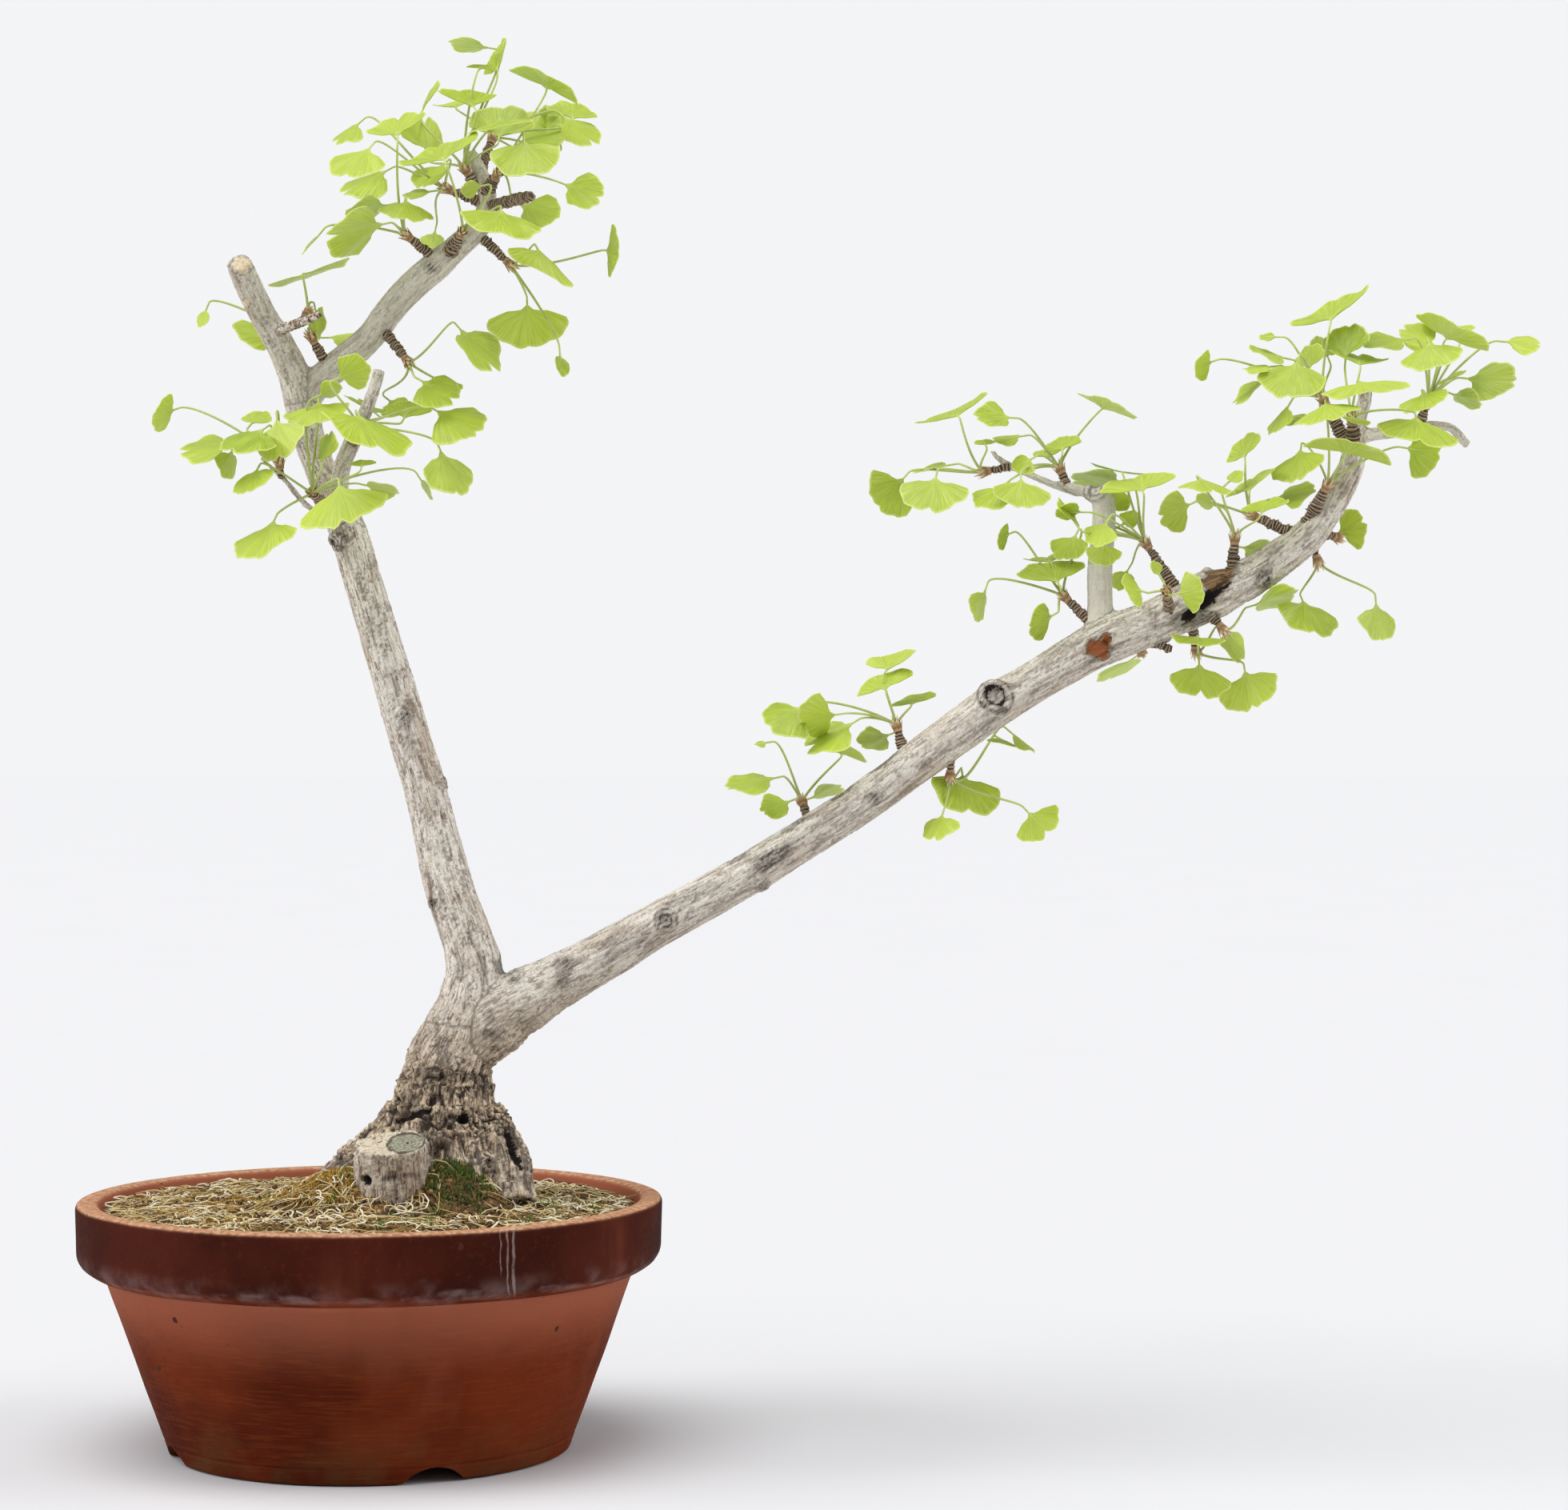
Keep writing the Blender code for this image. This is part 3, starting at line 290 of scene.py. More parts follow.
# Leaves of each spur: (base across, base down, margin across, margin down, half width across,
# half width down, depth of the base behind its bud in mm, lean: -1 to the front, 1 to the back)
TUFTS = {
    "apex_1": [(480, 280, 412, 298, 12, -24, -14, -1), (487, 256, 432, 270, 5, -9, -4, -1),
               (508, 251, 512, 280, 34, 3, -21, -1), (400, 292, 379, 318, 4, 3, -8, -1),
               (497, 170, 494, 138, 38, -10, -14, 1)],
    "apex_2": [(555, 200, 540, 172, 50, -20, -28, 1), (626, 262, 630, 298, 51, 9, -24, -1),
               (603, 232, 577, 238, 2, -8, -14, -1)],
    "apex_3": [(672, 311, 698, 357, 36, 13, -10, -1), (758, 313, 776, 319, -3, 33, 4, -1),
               (659, 380, 662, 434, 51, -2, 6, -1), (700, 443, 702, 470, 8, 2, -12, -1)],
    "apex_4": [(600, 86, 604, 76, 21, 3, 6, 1), (622, 90, 624, 50, 15, -9, 10, 1),
               (612, 60, 563, 52, 1, -2, 14, -1), (624, 172, 628, 130, 43, 2, -14, 1),
               (592, 134, 570, 105, 36, -2, -10, 1), (528, 138, 540, 106, 15, -14, 20, 1),
               (535, 192, 528, 145, 24, 3, 14, 1), (625, 150, 628, 168, 41, -8, -22, -1)],
    "apex_5": [(705, 230, 752, 248, -12, 26, 2, -1), (655, 176, 661, 222, 46, -4, -26, -1),
               (650, 256, 695, 275, 14, -26, 12, -1), (683, 111, 686, 105, 44, 21, 8, -1)],
    "apex_6": [(650, 179, 698, 150, 20, 30, 6, 1), (700, 178, 690, 133, 24, 3, 16, 1),
               (716, 150, 712, 122, 32, 3, 6, 1), (704, 146, 742, 182, 18, -16, 0, -1),
               (570, 134, 566, 120, 30, -6, 18, 1)],
    "apex_7": [(541, 239, 505, 244, 5, 10, -6, -1), (544, 288, 537, 318, 17, 4, 24, 1),
               (463, 184, 434, 226, 38, 10, -28, -1), (484, 213, 430, 243, 15, 20, 4, -1),
               (556, 204, 527, 235, 25, 5, -2, -1), (450, 153, 420, 180, 14, 10, 14, -1)],
    "left_1": [(574, 410, 620, 462, 18, -12, -6, -1), (527, 476, 570, 500, 18, -20, -14, -1),
               (560, 478, 578, 482, 3, 7, 2, 1), (486, 500, 506, 516, 14, -12, 26, -1)],
    "left_2": [(422, 473, 460, 456, 10, 18, -14, -1), (448, 518, 482, 565, 50, 12, -20, -1),
               (545, 513, 598, 543, 24, -26, 8, -1), (550, 562, 574, 617, 28, -4, -2, -1),
               (470, 517, 442, 494, 22, 6, 16, 1), (505, 523, 515, 498, 32, 3, 18, 1)],
    "left_3": [(424, 606, 434, 660, 59, -17, -28, -1), (343, 650, 326, 700, 44, -7, -10, -1),
               (322, 586, 310, 616, 28, -6, -12, -1), (403, 578, 411, 541, 17, -3, -14, 1),
               (398, 503, 400, 535, 42, -7, -4, -1), (398, 495, 426, 483, 3, 8, -8, 1),
               (525, 598, 541, 623, 4, -3, 16, -1), (455, 606, 497, 615, 2, 8, -10, -1),
               (452, 583, 452, 573, 18, -1, -16, 1)],
    "left_4": [(292, 556, 228, 562, 6, 22, -4, -1), (290, 562, 283, 598, 9, 2, 2, -1),
               (330, 536, 292, 568, 34, 10, -14, -1), (346, 523, 352, 574, 35, -9, -22, -1),
               (218, 512, 195, 524, -8, 22, 6, -1), (314, 530, 326, 512, 20, 3, 10, 1)],
    "left_5": [(380, 342, 384, 333, 54, -17, 0, 1)],
    "left_7": [(394, 386, 402, 420, 13, -12, 10, -1), (410, 422, 450, 421, 3, 12, 30, 1)],
    "left_6": [(352, 418, 296, 416, 12, 24, 6, -1), (258, 386, 249, 408, 10, 4, 4, -1)],
    "mid_1": [(1003, 884, 962, 910, 22, 22, -4, -1), (1045, 893, 998, 900, 4, 28, -12, -1),
              (1067, 903, 1010, 938, 10, 16, -6, -1), (1112, 918, 1076, 932, 12, 14, 10, 1),
              (1107, 862, 1105, 843, 37, -14, -4, 1), (1108, 838, 1128, 812, 30, -5, 6, 1),
              (1140, 880, 1148, 866, 28, -6, 10, 1)],
    "mid_2": [(970, 972, 910, 985, 8, 13, -4, -1), (988, 1001, 954, 1014, 12, 14, 8, -1),
              (958, 928, 945, 930, 2, 4, 4, -1), (1012, 998, 1052, 983, 3, 9, 10, 1),
              (1052, 943, 1053, 932, 32, 9, 0, -1)],
    "mid_3": [(1203, 968, 1210, 1015, 46, 8, 12, -1), (1285, 1015, 1309, 1042, 26, -20, -4, -1),
              (1178, 1018, 1167, 1050, 21, -1, -6, -1), (1248, 922, 1262, 931, 22, 5, 22, -1),
              (1262, 914, 1292, 940, 3, -3, 26, -1)],
    "cross_1": [(1130, 597, 1098, 634, 26, 24, 2, -1), (1170, 596, 1160, 641, 43, 4, -12, -1),
                (1188, 581, 1142, 588, 3, -6, 10, 1), (1197, 520, 1187, 507, 46, -20, 4, 1),
                (1232, 556, 1230, 548, 14, -1, -14, 1)],
    "cross_2": [(1264, 522, 1220, 520, 6, 19, -6, -1), (1278, 545, 1242, 550, 4, -9, 6, 1),
                (1290, 573, 1267, 586, 8, 12, -8, -1), (1328, 563, 1330, 545, 24, -6, -4, 1),
                (1311, 571, 1310, 560, 19, -4, 8, 1), (1378, 511, 1388, 505, 38, 16, 4, -1),
                (1276, 598, 1276, 634, 38, 4, -20, -1), (1255, 607, 1226, 634, 22, 8, -16, -1)],
    "cross_3": [(1322, 728, 1306, 700, 43, -8, -8, 1), (1232, 736, 1219, 775, 12, 5, 2, -1),
                (1316, 769, 1287, 786, 1, 23, -6, -1), (1313, 702, 1310, 692, 31, -6, 8, 1),
                (1262, 667, 1246, 674, 2, -17, 10, -1), (1345, 668, 1328, 699, 22, 4, 6, -1)],
    "cross_4": [(1428, 614, 1424, 594, 50, -10, -16, 1), (1384, 652, 1366, 681, 18, 7, -22, -1),
                (1380, 678, 1376, 706, 22, 3, -14, -1), (1404, 603, 1340, 597, 4, 12, 22, 1),
                (1402, 590, 1402, 583, 38, 7, 10, 1), (1386, 640, 1400, 612, 17, 8, 14, 1),
                (1402, 656, 1424, 643, 6, 10, 20, 1), (1345, 655, 1328, 626, 15, 8, -18, 1),
                (1352, 640, 1320, 640, 3, -9, -16, -1), (1410, 712, 1395, 736, 11, 5, 18, -1)],
    "cross_5": [(1428, 739, 1404, 733, 6, 22, 0, -1), (1471, 742, 1503, 736, 4, 27, -6, -1),
                (1450, 720, 1440, 702, 8, -4, 4, 1)],
    "cross_6": [(1520, 632, 1496, 624, 4, 9, -14, 1), (1577, 641, 1590, 620, 29, -4, -18, 1),
                (1552, 684, 1587, 690, 5, -13, 34, 1), (1500, 598, 1514, 620, 38, 2, -14, -1),
                (1535, 603, 1551, 588, 6, 5, 6, 1)],
    "cross_7": [(1488, 630, 1450, 648, 8, 24, -4, -1), (1556, 572, 1557, 544, 19, -13, 4, 1),
                (1562, 613, 1570, 592, 30, -17, -6, 1), (1597, 622, 1641, 612, 4, -17, 10, -1)],
    "end_1": [(1626, 561, 1617, 603, 31, -8, 10, -1), (1657, 504, 1653, 531, 41, -10, -23, -1),
              (1682, 568, 1680, 559, 55, 12, -12, -1), (1758, 560, 1799, 567, 6, -36, -8, -1)],
    "end_2": [(1664, 400, 1678, 366, 45, -20, 4, 1), (1622, 451, 1606, 497, 42, 6, -20, -1),
              (1608, 448, 1562, 440, 6, 14, 6, -1), (1592, 458, 1555, 461, 2, 8, -8, -1),
              (1515, 452, 1492, 461, 0, 18, 2, -1), (1596, 421, 1575, 420, 4, -7, 8, 1),
              (1636, 462, 1640, 430, 16, -3, 12, 1), (1580, 472, 1543, 503, 5, 5, 4, -1),
              (1612, 505, 1590, 542, 7, 3, 0, -1), (1640, 518, 1600, 527, 4, 7, 14, -1),
              (1660, 447, 1651, 420, 19, 0, 22, 1)],
    "end_3": [(1700, 477, 1704, 495, 57, -8, -14, -1), (1700, 456, 1704, 437, 38, 6, 6, 1),
              (1690, 521, 1698, 533, 19, 2, -12, -1), (1682, 448, 1687, 406, 27, 0, 16, 1),
              (1770, 521, 1767, 556, 53, 10, -20, -1)],
    "end_4": [(1786, 428, 1788, 464, 39, -8, -16, -1), (1760, 424, 1704, 433, 7, 17, 4, -1),
              (1793, 432, 1754, 410, 19, -17, 14, 1), (1820, 418, 1802, 396, 34, 3, 20, 1),
              (1808, 424, 1812, 416, 48, 23, 2, -1), (1880, 427, 1924, 432, 4, -16, 2, -1),
              (1833, 473, 1892, 480, 2, -21, 4, -1), (1778, 492, 1776, 513, 30, -10, -18, -1),
              (1814, 492, 1850, 507, 2, -6, 10, -1), (1806, 478, 1824, 465, 16, -7, 16, 1)],
    "end_5": [(1720, 753, 1723, 800, 29, 1, -2, -1), (1628, 750, 1640, 792, 42, 7, 4, -1)],
    "end_6": [(1672, 667, 1704, 652, 8, 26, 6, -1)],
    "low_1": [(1499, 829, 1499, 870, 41, 4, -6, -1), (1556, 838, 1562, 885, 35, -14, -2, -1),
              (1528, 789, 1553, 824, 16, -8, 6, -1), (1497, 796, 1492, 806, 35, 3, -19, -1)],
    "low_2": [(1566, 757, 1620, 741, 4, -15, 6, 1)],
    "low_3": [(1418, 822, 1386, 847, 29, -8, 10, 1)],
}

# Features of the bark by kind, each where it shows on the front view: (across, down, half
# width, half height, tilt in degrees, strength)
FEATURES = {
    "knot": [(505, 893, 9, 9, 0, 1.0), (558, 978, 7, 7, 0, 0.8), (542, 1130, 9, 9, 0, 1.0),
             (585, 1090, 5, 5, 0, 0.6), (489, 757, 4, 5, 0, 0.6), (420, 677, 12, 10, 0, 1.1),
             (540, 335, 9, 8, 0, 0.9), (562, 306, 6, 6, 0, 0.6), (708, 1205, 8, 10, 0, 0.8),
             (830, 1150, 13, 13, 0, 1.1), (955, 1107, 9, 9, 0, 0.9), (1095, 995, 9, 9, 0, 1.0),
             (1246, 868, 19, 17, 0, 1.4), (1250, 890, 9, 8, 0, 0.8), (1580, 722, 11, 11, 0, 1.1),
             (579, 1397, 13, 11, 0, 1.0), (613, 1455, 9, 9, 0, 0.8), (612, 1293, 7, 8, 0, 0.7),
             (1368, 612, 13, 12, 0, 0.8), (1454, 808, 11, 8, 0, 1.0), (765, 1172, 6, 7, 0, 0.6),
             (640, 1212, 7, 5, 30, 0.7), (470, 705, 4, 5, 0, 0.5), (523, 940, 4, 4, 0, 0.4),
             (612, 1452, 9, 9, 0, 1.0)],
    "dark": [(964, 1075, 30, 10, 33, 1.0), (1102, 950, 24, 4, 36, 0.9), (1050, 990, 16, 4, 34, 0.8),
             (990, 1028, 18, 4, 33, 0.8), (920, 1070, 16, 4, 30, 0.7), (860, 1118, 40, 9, 27, 0.45),
             (1010, 1040, 60, 5, 31, 0.4), (780, 1180, 30, 12, 30, 0.3),
             (1490, 772, 26, 10, 20, 0.8), (1240, 905, 14, 6, 30, 0.6), (418, 684, 16, 6, 0, 0.7),
             (503, 905, 7, 9, 0, 0.6), (565, 1343, 56, 7, -4, 1.0), (548, 1402, 30, 14, 10, 0.9),
             (604, 1362, 22, 9, 20, 0.9), (1498, 776, 26, 9, 14, 1.0), (545, 1396, 26, 5, -8, 1.0),
             (546, 1425, 8, 30, -6, 1.0), (510, 1378, 14, 22, 20, 0.9),
             (545, 1360, 22, 16, 10, 0.8), (632, 1205, 18, 10, -40, 0.9),
             (700, 1212, 10, 22, 10, 0.7), (643, 1222, 10, 6, 0, 0.9), (424, 1446, 18, 4, -34, 0.9),
             (400, 1463, 16, 4, -30, 0.9), (500, 1474, 26, 4, 6, 0.9), (590, 1418, 22, 5, 12, 0.9),
             (562, 1432, 6, 18, 20, 0.7), (662, 1470, 8, 18, 12, 0.7), (600, 1485, 26, 5, 0, 0.8),
             (500, 1350, 14, 10, 40, 0.7), (478, 1392, 14, 8, -40, 0.9),
             (572, 1215, 6, 14, 20, 0.5), (612, 1268, 7, 16, 30, 0.5), (640, 1405, 14, 6, 40, 0.7),
             (545, 1300, 5, 22, 10, 0.6)],
    "wound": [(1376, 812, 15, 14, 20, 1.0), (1383, 797, 6, 7, 0, 1.0),
              (1524, 716, 26, 15, 44, 0.5)],
    "hole": [(1510, 748, 38, 8, 42, 1.3), (641, 1432, 5, 28, 24, 1.6), (579, 1396, 8, 6, -12, 0.9),
             (514, 1392, 20, 4, 22, 0.8), (455, 1478, 9, 6, 0, 1.0), (462, 1419, 12, 3, -4, 1.0)],
    "cut": [(300, 328, 15, 13, -20, 1.0), (305, 380, 5, 5, 0, 0.9), (612, 240, 7, 9, 0, 0.6),
            (571, 302, 6, 6, 0, 0.9)],
}


def seen(across, down, depth):
    """The place, in metres, of a mark on the front view at a depth in mm behind the middle."""
    y = depth * MM
    scale = (y - EYE.y) / VIEW_FOCAL
    return Vector((EYE.x + (across - VIEW_CENTRE[0]) * scale, y,
                   EYE.z - (down - VIEW_CENTRE[1]) * scale))


def seen_size(pixels, depth):
    return pixels * (depth * MM - EYE.y) / VIEW_FOCAL


def seen_at_height(across, down, height):
    """The place where a mark on the front view meets a level plane."""
    y = EYE.y + VIEW_FOCAL * (EYE.z - height) / (down - VIEW_CENTRE[1])
    return Vector((EYE.x + (across - VIEW_CENTRE[0]) * (y - EYE.y) / VIEW_FOCAL, y, height))


def smooth(share):
    share = min(1.0, max(0.0, share))
    return share * share * (3.0 - 2.0 * share)


class Skin:
    """Points and faces gathered from many small shapes, with named values on the points."""

    def __init__(self, *value_names):
        self.points = []
        self.faces = []
        self.slots = []
        self.values = {name: [] for name in value_names}

    def add(self, points, faces, slot=0, **values):
        """Add a shape. A value is one number for all its points, or a list with one for each."""
        start = len(self.points)
        self.points.extend(tuple(point) for point in points)
        self.faces.extend(tuple(corner + start for corner in face) for face in faces)
        self.slots.extend([slot] * len(faces))
        for name, rows in self.values.items():
            given = values[name]
            rows.extend(given if isinstance(given, list) else [given] * len(points))

    def piece(self, name, materials, sharp=None):
        """A smooth-shaded object of all that was added, with its values as attributes."""
        mesh = bpy.data.meshes.new(name)
        mesh.from_pydata(self.points, [], self.faces)
        for material in materials:
            mesh.materials.append(material)
        mesh.polygons.foreach_set("material_index", self.slots)
        mesh.polygons.foreach_set("use_smooth", [True] * len(self.faces))
        for value_name, rows in self.values.items():
            set_value(mesh, value_name, rows)
        if sharp:
            mesh.set_sharp_from_angle(angle=math.radians(sharp))
        mesh.update()
        thing = bpy.data.objects.new(name, mesh)
        bpy.context.scene.collection.objects.link(thing)
        return thing


def set_value(mesh, name, rows):
    """Put one number, or one row of three, on each point of a mesh."""
    rows = np.asarray(rows, np.float32)
    kind = "FLOAT" if rows.ndim == 1 else "FLOAT_VECTOR"
    layer = mesh.attributes.new(name, kind, "POINT")
    layer.data.foreach_set("value" if rows.ndim == 1 else "vector", rows.ravel())


def points_of(mesh):
    flat = np.empty(len(mesh.vertices) * 3, np.float32)
    mesh.vertices.foreach_get("co", flat)
    return flat.reshape(-1, 3).astype(float)


def normals_of(mesh):
    flat = np.empty(len(mesh.vertices) * 3, np.float32)
    mesh.vertex_normals.foreach_get("vector", flat)
    return flat.reshape(-1, 3).astype(float)


def grid_faces(rows, columns, closed=False, turned_over=False):
    """Faces between the rows of a grid of points."""
    faces = []
    for row in range(rows - 1):
        for column in range(columns if closed else columns - 1):
            after = (column + 1) % columns
            face = (row * columns + column, row * columns + after,
                    (row + 1) * columns + after, (row + 1) * columns + column)
            faces.append(face[::-1] if turned_over else face)
    return faces


def carried_frames(line, start=None):
    """(right, up) at each place of a line, carried along without twisting."""
    frames = []
    right = start
    for index in range(len(line)):
        ahead = (line[min(index + 1, len(line) - 1)] - line[max(index - 1, 0)]).normalized()
        if right is None or right.cross(ahead).length < 1e-6:
            right = ahead.orthogonal()
        right = (right - ahead * right.dot(ahead)).normalized()
        frames.append((right, ahead.cross(right)))
    return frames


def tube_points(line, radii, sides, flat=1.0):
    """Rings of points round a line, with one point at each end to close them."""
    points = []
    for place, radius, (right, up) in zip(line, radii, carried_frames(line)):
        for side in range(sides):
            turn = side / sides * math.tau
            points.append(place + right * (radius * math.cos(turn))
                          + up * (radius * flat * math.sin(turn)))
    count = len(line)
    faces = grid_faces(count, sides, closed=True)
    points.append(line[0])
    points.append(line[-1])
    for side in range(sides):
        after = (side + 1) % sides
        faces.append((side, count * sides, after))
        faces.append(((count - 1) * sides + side, (count - 1) * sides + after, count * sides + 1))
    return points, faces


# Shader helpers


def put(tree, kind, sockets=None, **settings):
    """Add a node, set its settings, and set or link its sockets by name or number."""
    added = tree.nodes.new("ShaderNode" + kind)
    for key, value in settings.items():
        setattr(added, key, value)
    for key, value in (sockets or {}).items():
        if isinstance(value, bpy.types.NodeSocket):
            tree.links.new(value, added.inputs[key])
        else:
            added.inputs[key].default_value = value
    return added


def rgb(red, green, blue):
    """A shader colour from a screen colour of 0 to 255."""
    def linear(part):
        part = part / 255
        return part / 12.92 if part <= 0.04045 else ((part + 0.055) / 1.055) ** 2.4
    return (linear(red), linear(green), linear(blue), 1.0)


class Paint:
    """The nodes of one material. A colour is a socket, or three screen values of 0 to 255."""

    def __init__(self, name, vector=None):
        """Noise follows a vector stored on the points, or else the object's own coordinates."""
        self.material = bpy.data.materials.new(name)
        self.material.use_nodes = True
        self.tree = self.material.node_tree
        self.shader = self.tree.nodes["Principled BSDF"]
        self.at = self.value(vector, "Vector") if vector else put(self.tree, "TexCoord").outputs["Object"]

    def value(self, name, part="Fac"):
        return put(self.tree, "Attribute", attribute_name=name).outputs[part]

    def parts(self):
        return put(self.tree, "SeparateXYZ", {0: self.at}).outputs

    def maths(self, operation, first, second=0.0, clamped=False):
        node = put(self.tree, "Math", {0: first, 1: second}, operation=operation)
        node.use_clamp = clamped
        return node.outputs[0]

    def plus(self, first, second, clamped=False):
        return self.maths("ADD", first, second, clamped)

    def times(self, first, *others):
        for other in others:
            first = self.maths("MULTIPLY", first, other)
        return first

    def span(self, value, low, high, first=0.0, last=1.0):
        """The value stretched from low..high to first..last, and held inside them."""
        node = put(self.tree, "MapRange", {0: value, 1: low, 2: high, 3: first, 4: last})
        node.interpolation_type = "SMOOTHSTEP"
        return node.outputs[0]

    def stretched(self, scale):
        return put(self.tree, "VectorMath", {0: self.at, 1: scale}, operation="MULTIPLY").outputs[0]

    def noise(self, scale, detail=4.0, roughness=0.55, warp=0.0, stretch=None):
        sockets = {"Vector": self.stretched(stretch) if stretch else self.at, "Scale": scale,
                   "Detail": detail, "Roughness": roughness, "Distortion": warp}
        return put(self.tree, "TexNoise", sockets).outputs[0]

    def mix(self, share, under, over):
        under, over = (side if isinstance(side, bpy.types.NodeSocket) else rgb(*side)
                       for side in (under, over))
        return put(self.tree, "Mix", {0: share, 6: under, 7: over}, data_type="RGBA").outputs[2]

    def wash(self, under, over, value, low, high, first=0.0, last=1.0):
        """One colour over another, in a share that goes first..last as the value goes low..high."""
        return self.mix(self.span(value, low, high, first, last), under, over)

    def bump(self, height, strength, distance):
        """Raise the surface by a value, on top of what was raised before."""
        node = put(self.tree, "Bump", {"Height": height, "Strength": strength, "Distance": distance})
        normal = self.shader.inputs["Normal"]
        if normal.is_linked:
            self.tree.links.new(normal.links[0].from_socket, node.inputs["Normal"])
        self.tree.links.new(node.outputs[0], normal)

    def finish(self, colour, roughness, **settings):
        """Link the colour, set or link the roughness, and set the shader's other sockets."""
        self.tree.links.new(colour, self.shader.inputs["Base Color"])
        if isinstance(roughness, bpy.types.NodeSocket):
            self.tree.links.new(roughness, self.shader.inputs["Roughness"])
        else:
            self.shader.inputs["Roughness"].default_value = roughness
        for name, value in settings.items():
            self.shader.inputs[name.replace("_", " ")].default_value = value
        return self.material


# Materials


def clay_material():
    """Fired clay: dark band, worn rim, bloom at the band's foot, drips, chips and algae."""
    paint = Paint("clay_fired")
    x, y, z = paint.parts()
    wide = paint.noise(14.0, 3.0)
    fine = paint.noise(320.0, 5.0, 0.6)
    brushed = paint.noise(6.0, 4.0, 0.6, stretch=(9.0, 9.0, 130.0))
    wall = paint.wash((78, 26, 8), (108, 43, 16), wide, 0.35, 0.65)
    wall = paint.wash(wall, (132, 63, 30), brushed, 0.45, 0.75, 0.0, 0.35)
    band = paint.wash((52, 17, 9), (74, 28, 16), wide, 0.35, 0.7)
    band = paint.wash(band, (98, 46, 28), fine, 0.5, 0.8, 0.0, 0.4)
    colour = paint.wash(wall, band, z, 0.0945, 0.0990)
    flat = paint.stretched((1.0, 1.0, 0.0))
    from_axis = put(paint.tree, "VectorMath", {0: flat}, operation="LENGTH").outputs[1]
    top = paint.times(paint.span(z, 0.1262, 0.1282), paint.span(from_axis, 0.1500, 0.1485))
    colour = paint.mix(top, colour, paint.wash((170, 116, 84), (214, 172, 138), fine, 0.35, 0.7))
    inner = paint.times(paint.span(from_axis, 0.1396, 0.1386), paint.span(z, 0.05, 0.10, 0.0, 0.7))
    colour = paint.mix(inner, colour, (176, 104, 78))
    ragged = paint.plus(z, paint.span(wide, 0.3, 0.7, -0.0025, 0.0025))
    bloom = paint.times(paint.span(ragged, 0.1000, 0.0975), paint.span(z, 0.0935, 0.0960),
                        paint.span(paint.noise(90.0), 0.36, 0.72, 0.0, 0.34))
    haze = paint.times(paint.span(z, 0.1080, 0.0970), paint.span(z, 0.090, 0.0955),
                       paint.span(paint.noise(55.0), 0.40, 0.72, 0.0, 0.26))
    colour = paint.mix(paint.maths("MAXIMUM", bloom, haze), colour, (168, 142, 138))
    wander = paint.plus(x, paint.span(paint.noise(60.0, 2.0), 0.3, 0.7, -0.0007, 0.0007))
    front = paint.span(y, -0.02, -0.06, 0.0, 0.28)
    drips = 0.0
    for place, half, low in CLAY_DRIPS:
        off = paint.maths("ABSOLUTE", paint.maths("SUBTRACT", wander, place))
        drip = paint.times(paint.span(off, half, 0.2 * half), paint.span(z, low, low + DRIP_FADE))
        drips = paint.maths("MAXIMUM", drips, drip)
    drips = paint.times(drips, front, paint.span(fine, 0.3, 0.6, 0.3, 1.0))
    colour = paint.mix(drips, colour, (206, 190, 182))
    algae = paint.times(paint.span(z, 0.040, 0.002), paint.span(paint.noise(34.0, 5.0), 0.42, 0.66, 0.0, 0.3))
    colour = paint.mix(algae, colour, (92, 74, 44))
    colour = paint.wash(colour, (70, 40, 32), paint.noise(90.0, 2.0, 0.4), 0.735, 0.76)
    stain = paint.noise(22.0, stretch=(1.0, 1.0, 0.35))
    colour = paint.wash(colour, (136, 72, 48), stain, 0.55, 0.75, 0.0, 0.3)
    paint.bump(brushed, 0.18, 0.0006)
    paint.bump(fine, 0.30, 0.0004)
    paint.bump(paint.noise(1500.0, 2.0), 0.25, 0.0002)
    return paint.finish(colour, paint.span(fine, 0.3, 0.7, 0.70, 0.88), Specular_IOR_Level=0.06)


def soil_material():
    """Crumbly soil: dark crumb, tan fibre and yellow dried moss in patches."""
    paint = Paint("soil_crumb")
    crumb = paint.noise(420.0, 4.0, 0.65)
    fibre = paint.noise(900.0, 3.0, 0.6, 1.5, (1.0, 0.4, 1.0))
    colour = paint.wash((24, 16, 10), (112, 84, 52), crumb, 0.35, 0.62)
    colour = paint.wash(colour, (176, 150, 108), fibre, 0.52, 0.66, 0.0, 0.7)
    left = paint.span(paint.parts()[0], 0.06, -0.06, 0.15, 0.75)
    moss = paint.times(paint.span(paint.noise(26.0), 0.46, 0.60), left)
    colour = paint.mix(moss, colour, paint.mix(crumb, (122, 82, 24), (214, 168, 66)))
    paint.bump(fibre, 0.4, 0.0006)
    paint.bump(crumb, 0.7, 0.0012)
    return paint.finish(colour, 0.95, Specular_IOR_Level=0.2)


def litter_material():
    """Dry strands: the point value goes from dark brown through straw to pale dry moss."""
    paint = Paint("litter_dry")
    shade = paint.plus(paint.value("tone"), paint.span(paint.noise(300.0, 3.0), 0.3, 0.7, -0.10, 0.10))
    colour = paint.wash((58, 36, 22), (150, 112, 62), shade, 0.0, 0.35)
    colour = paint.wash(colour, (208, 184, 122), shade, 0.30, 0.62)
    return paint.finish(paint.wash(colour, (242, 232, 204), shade, 0.62, 0.95), 0.85)


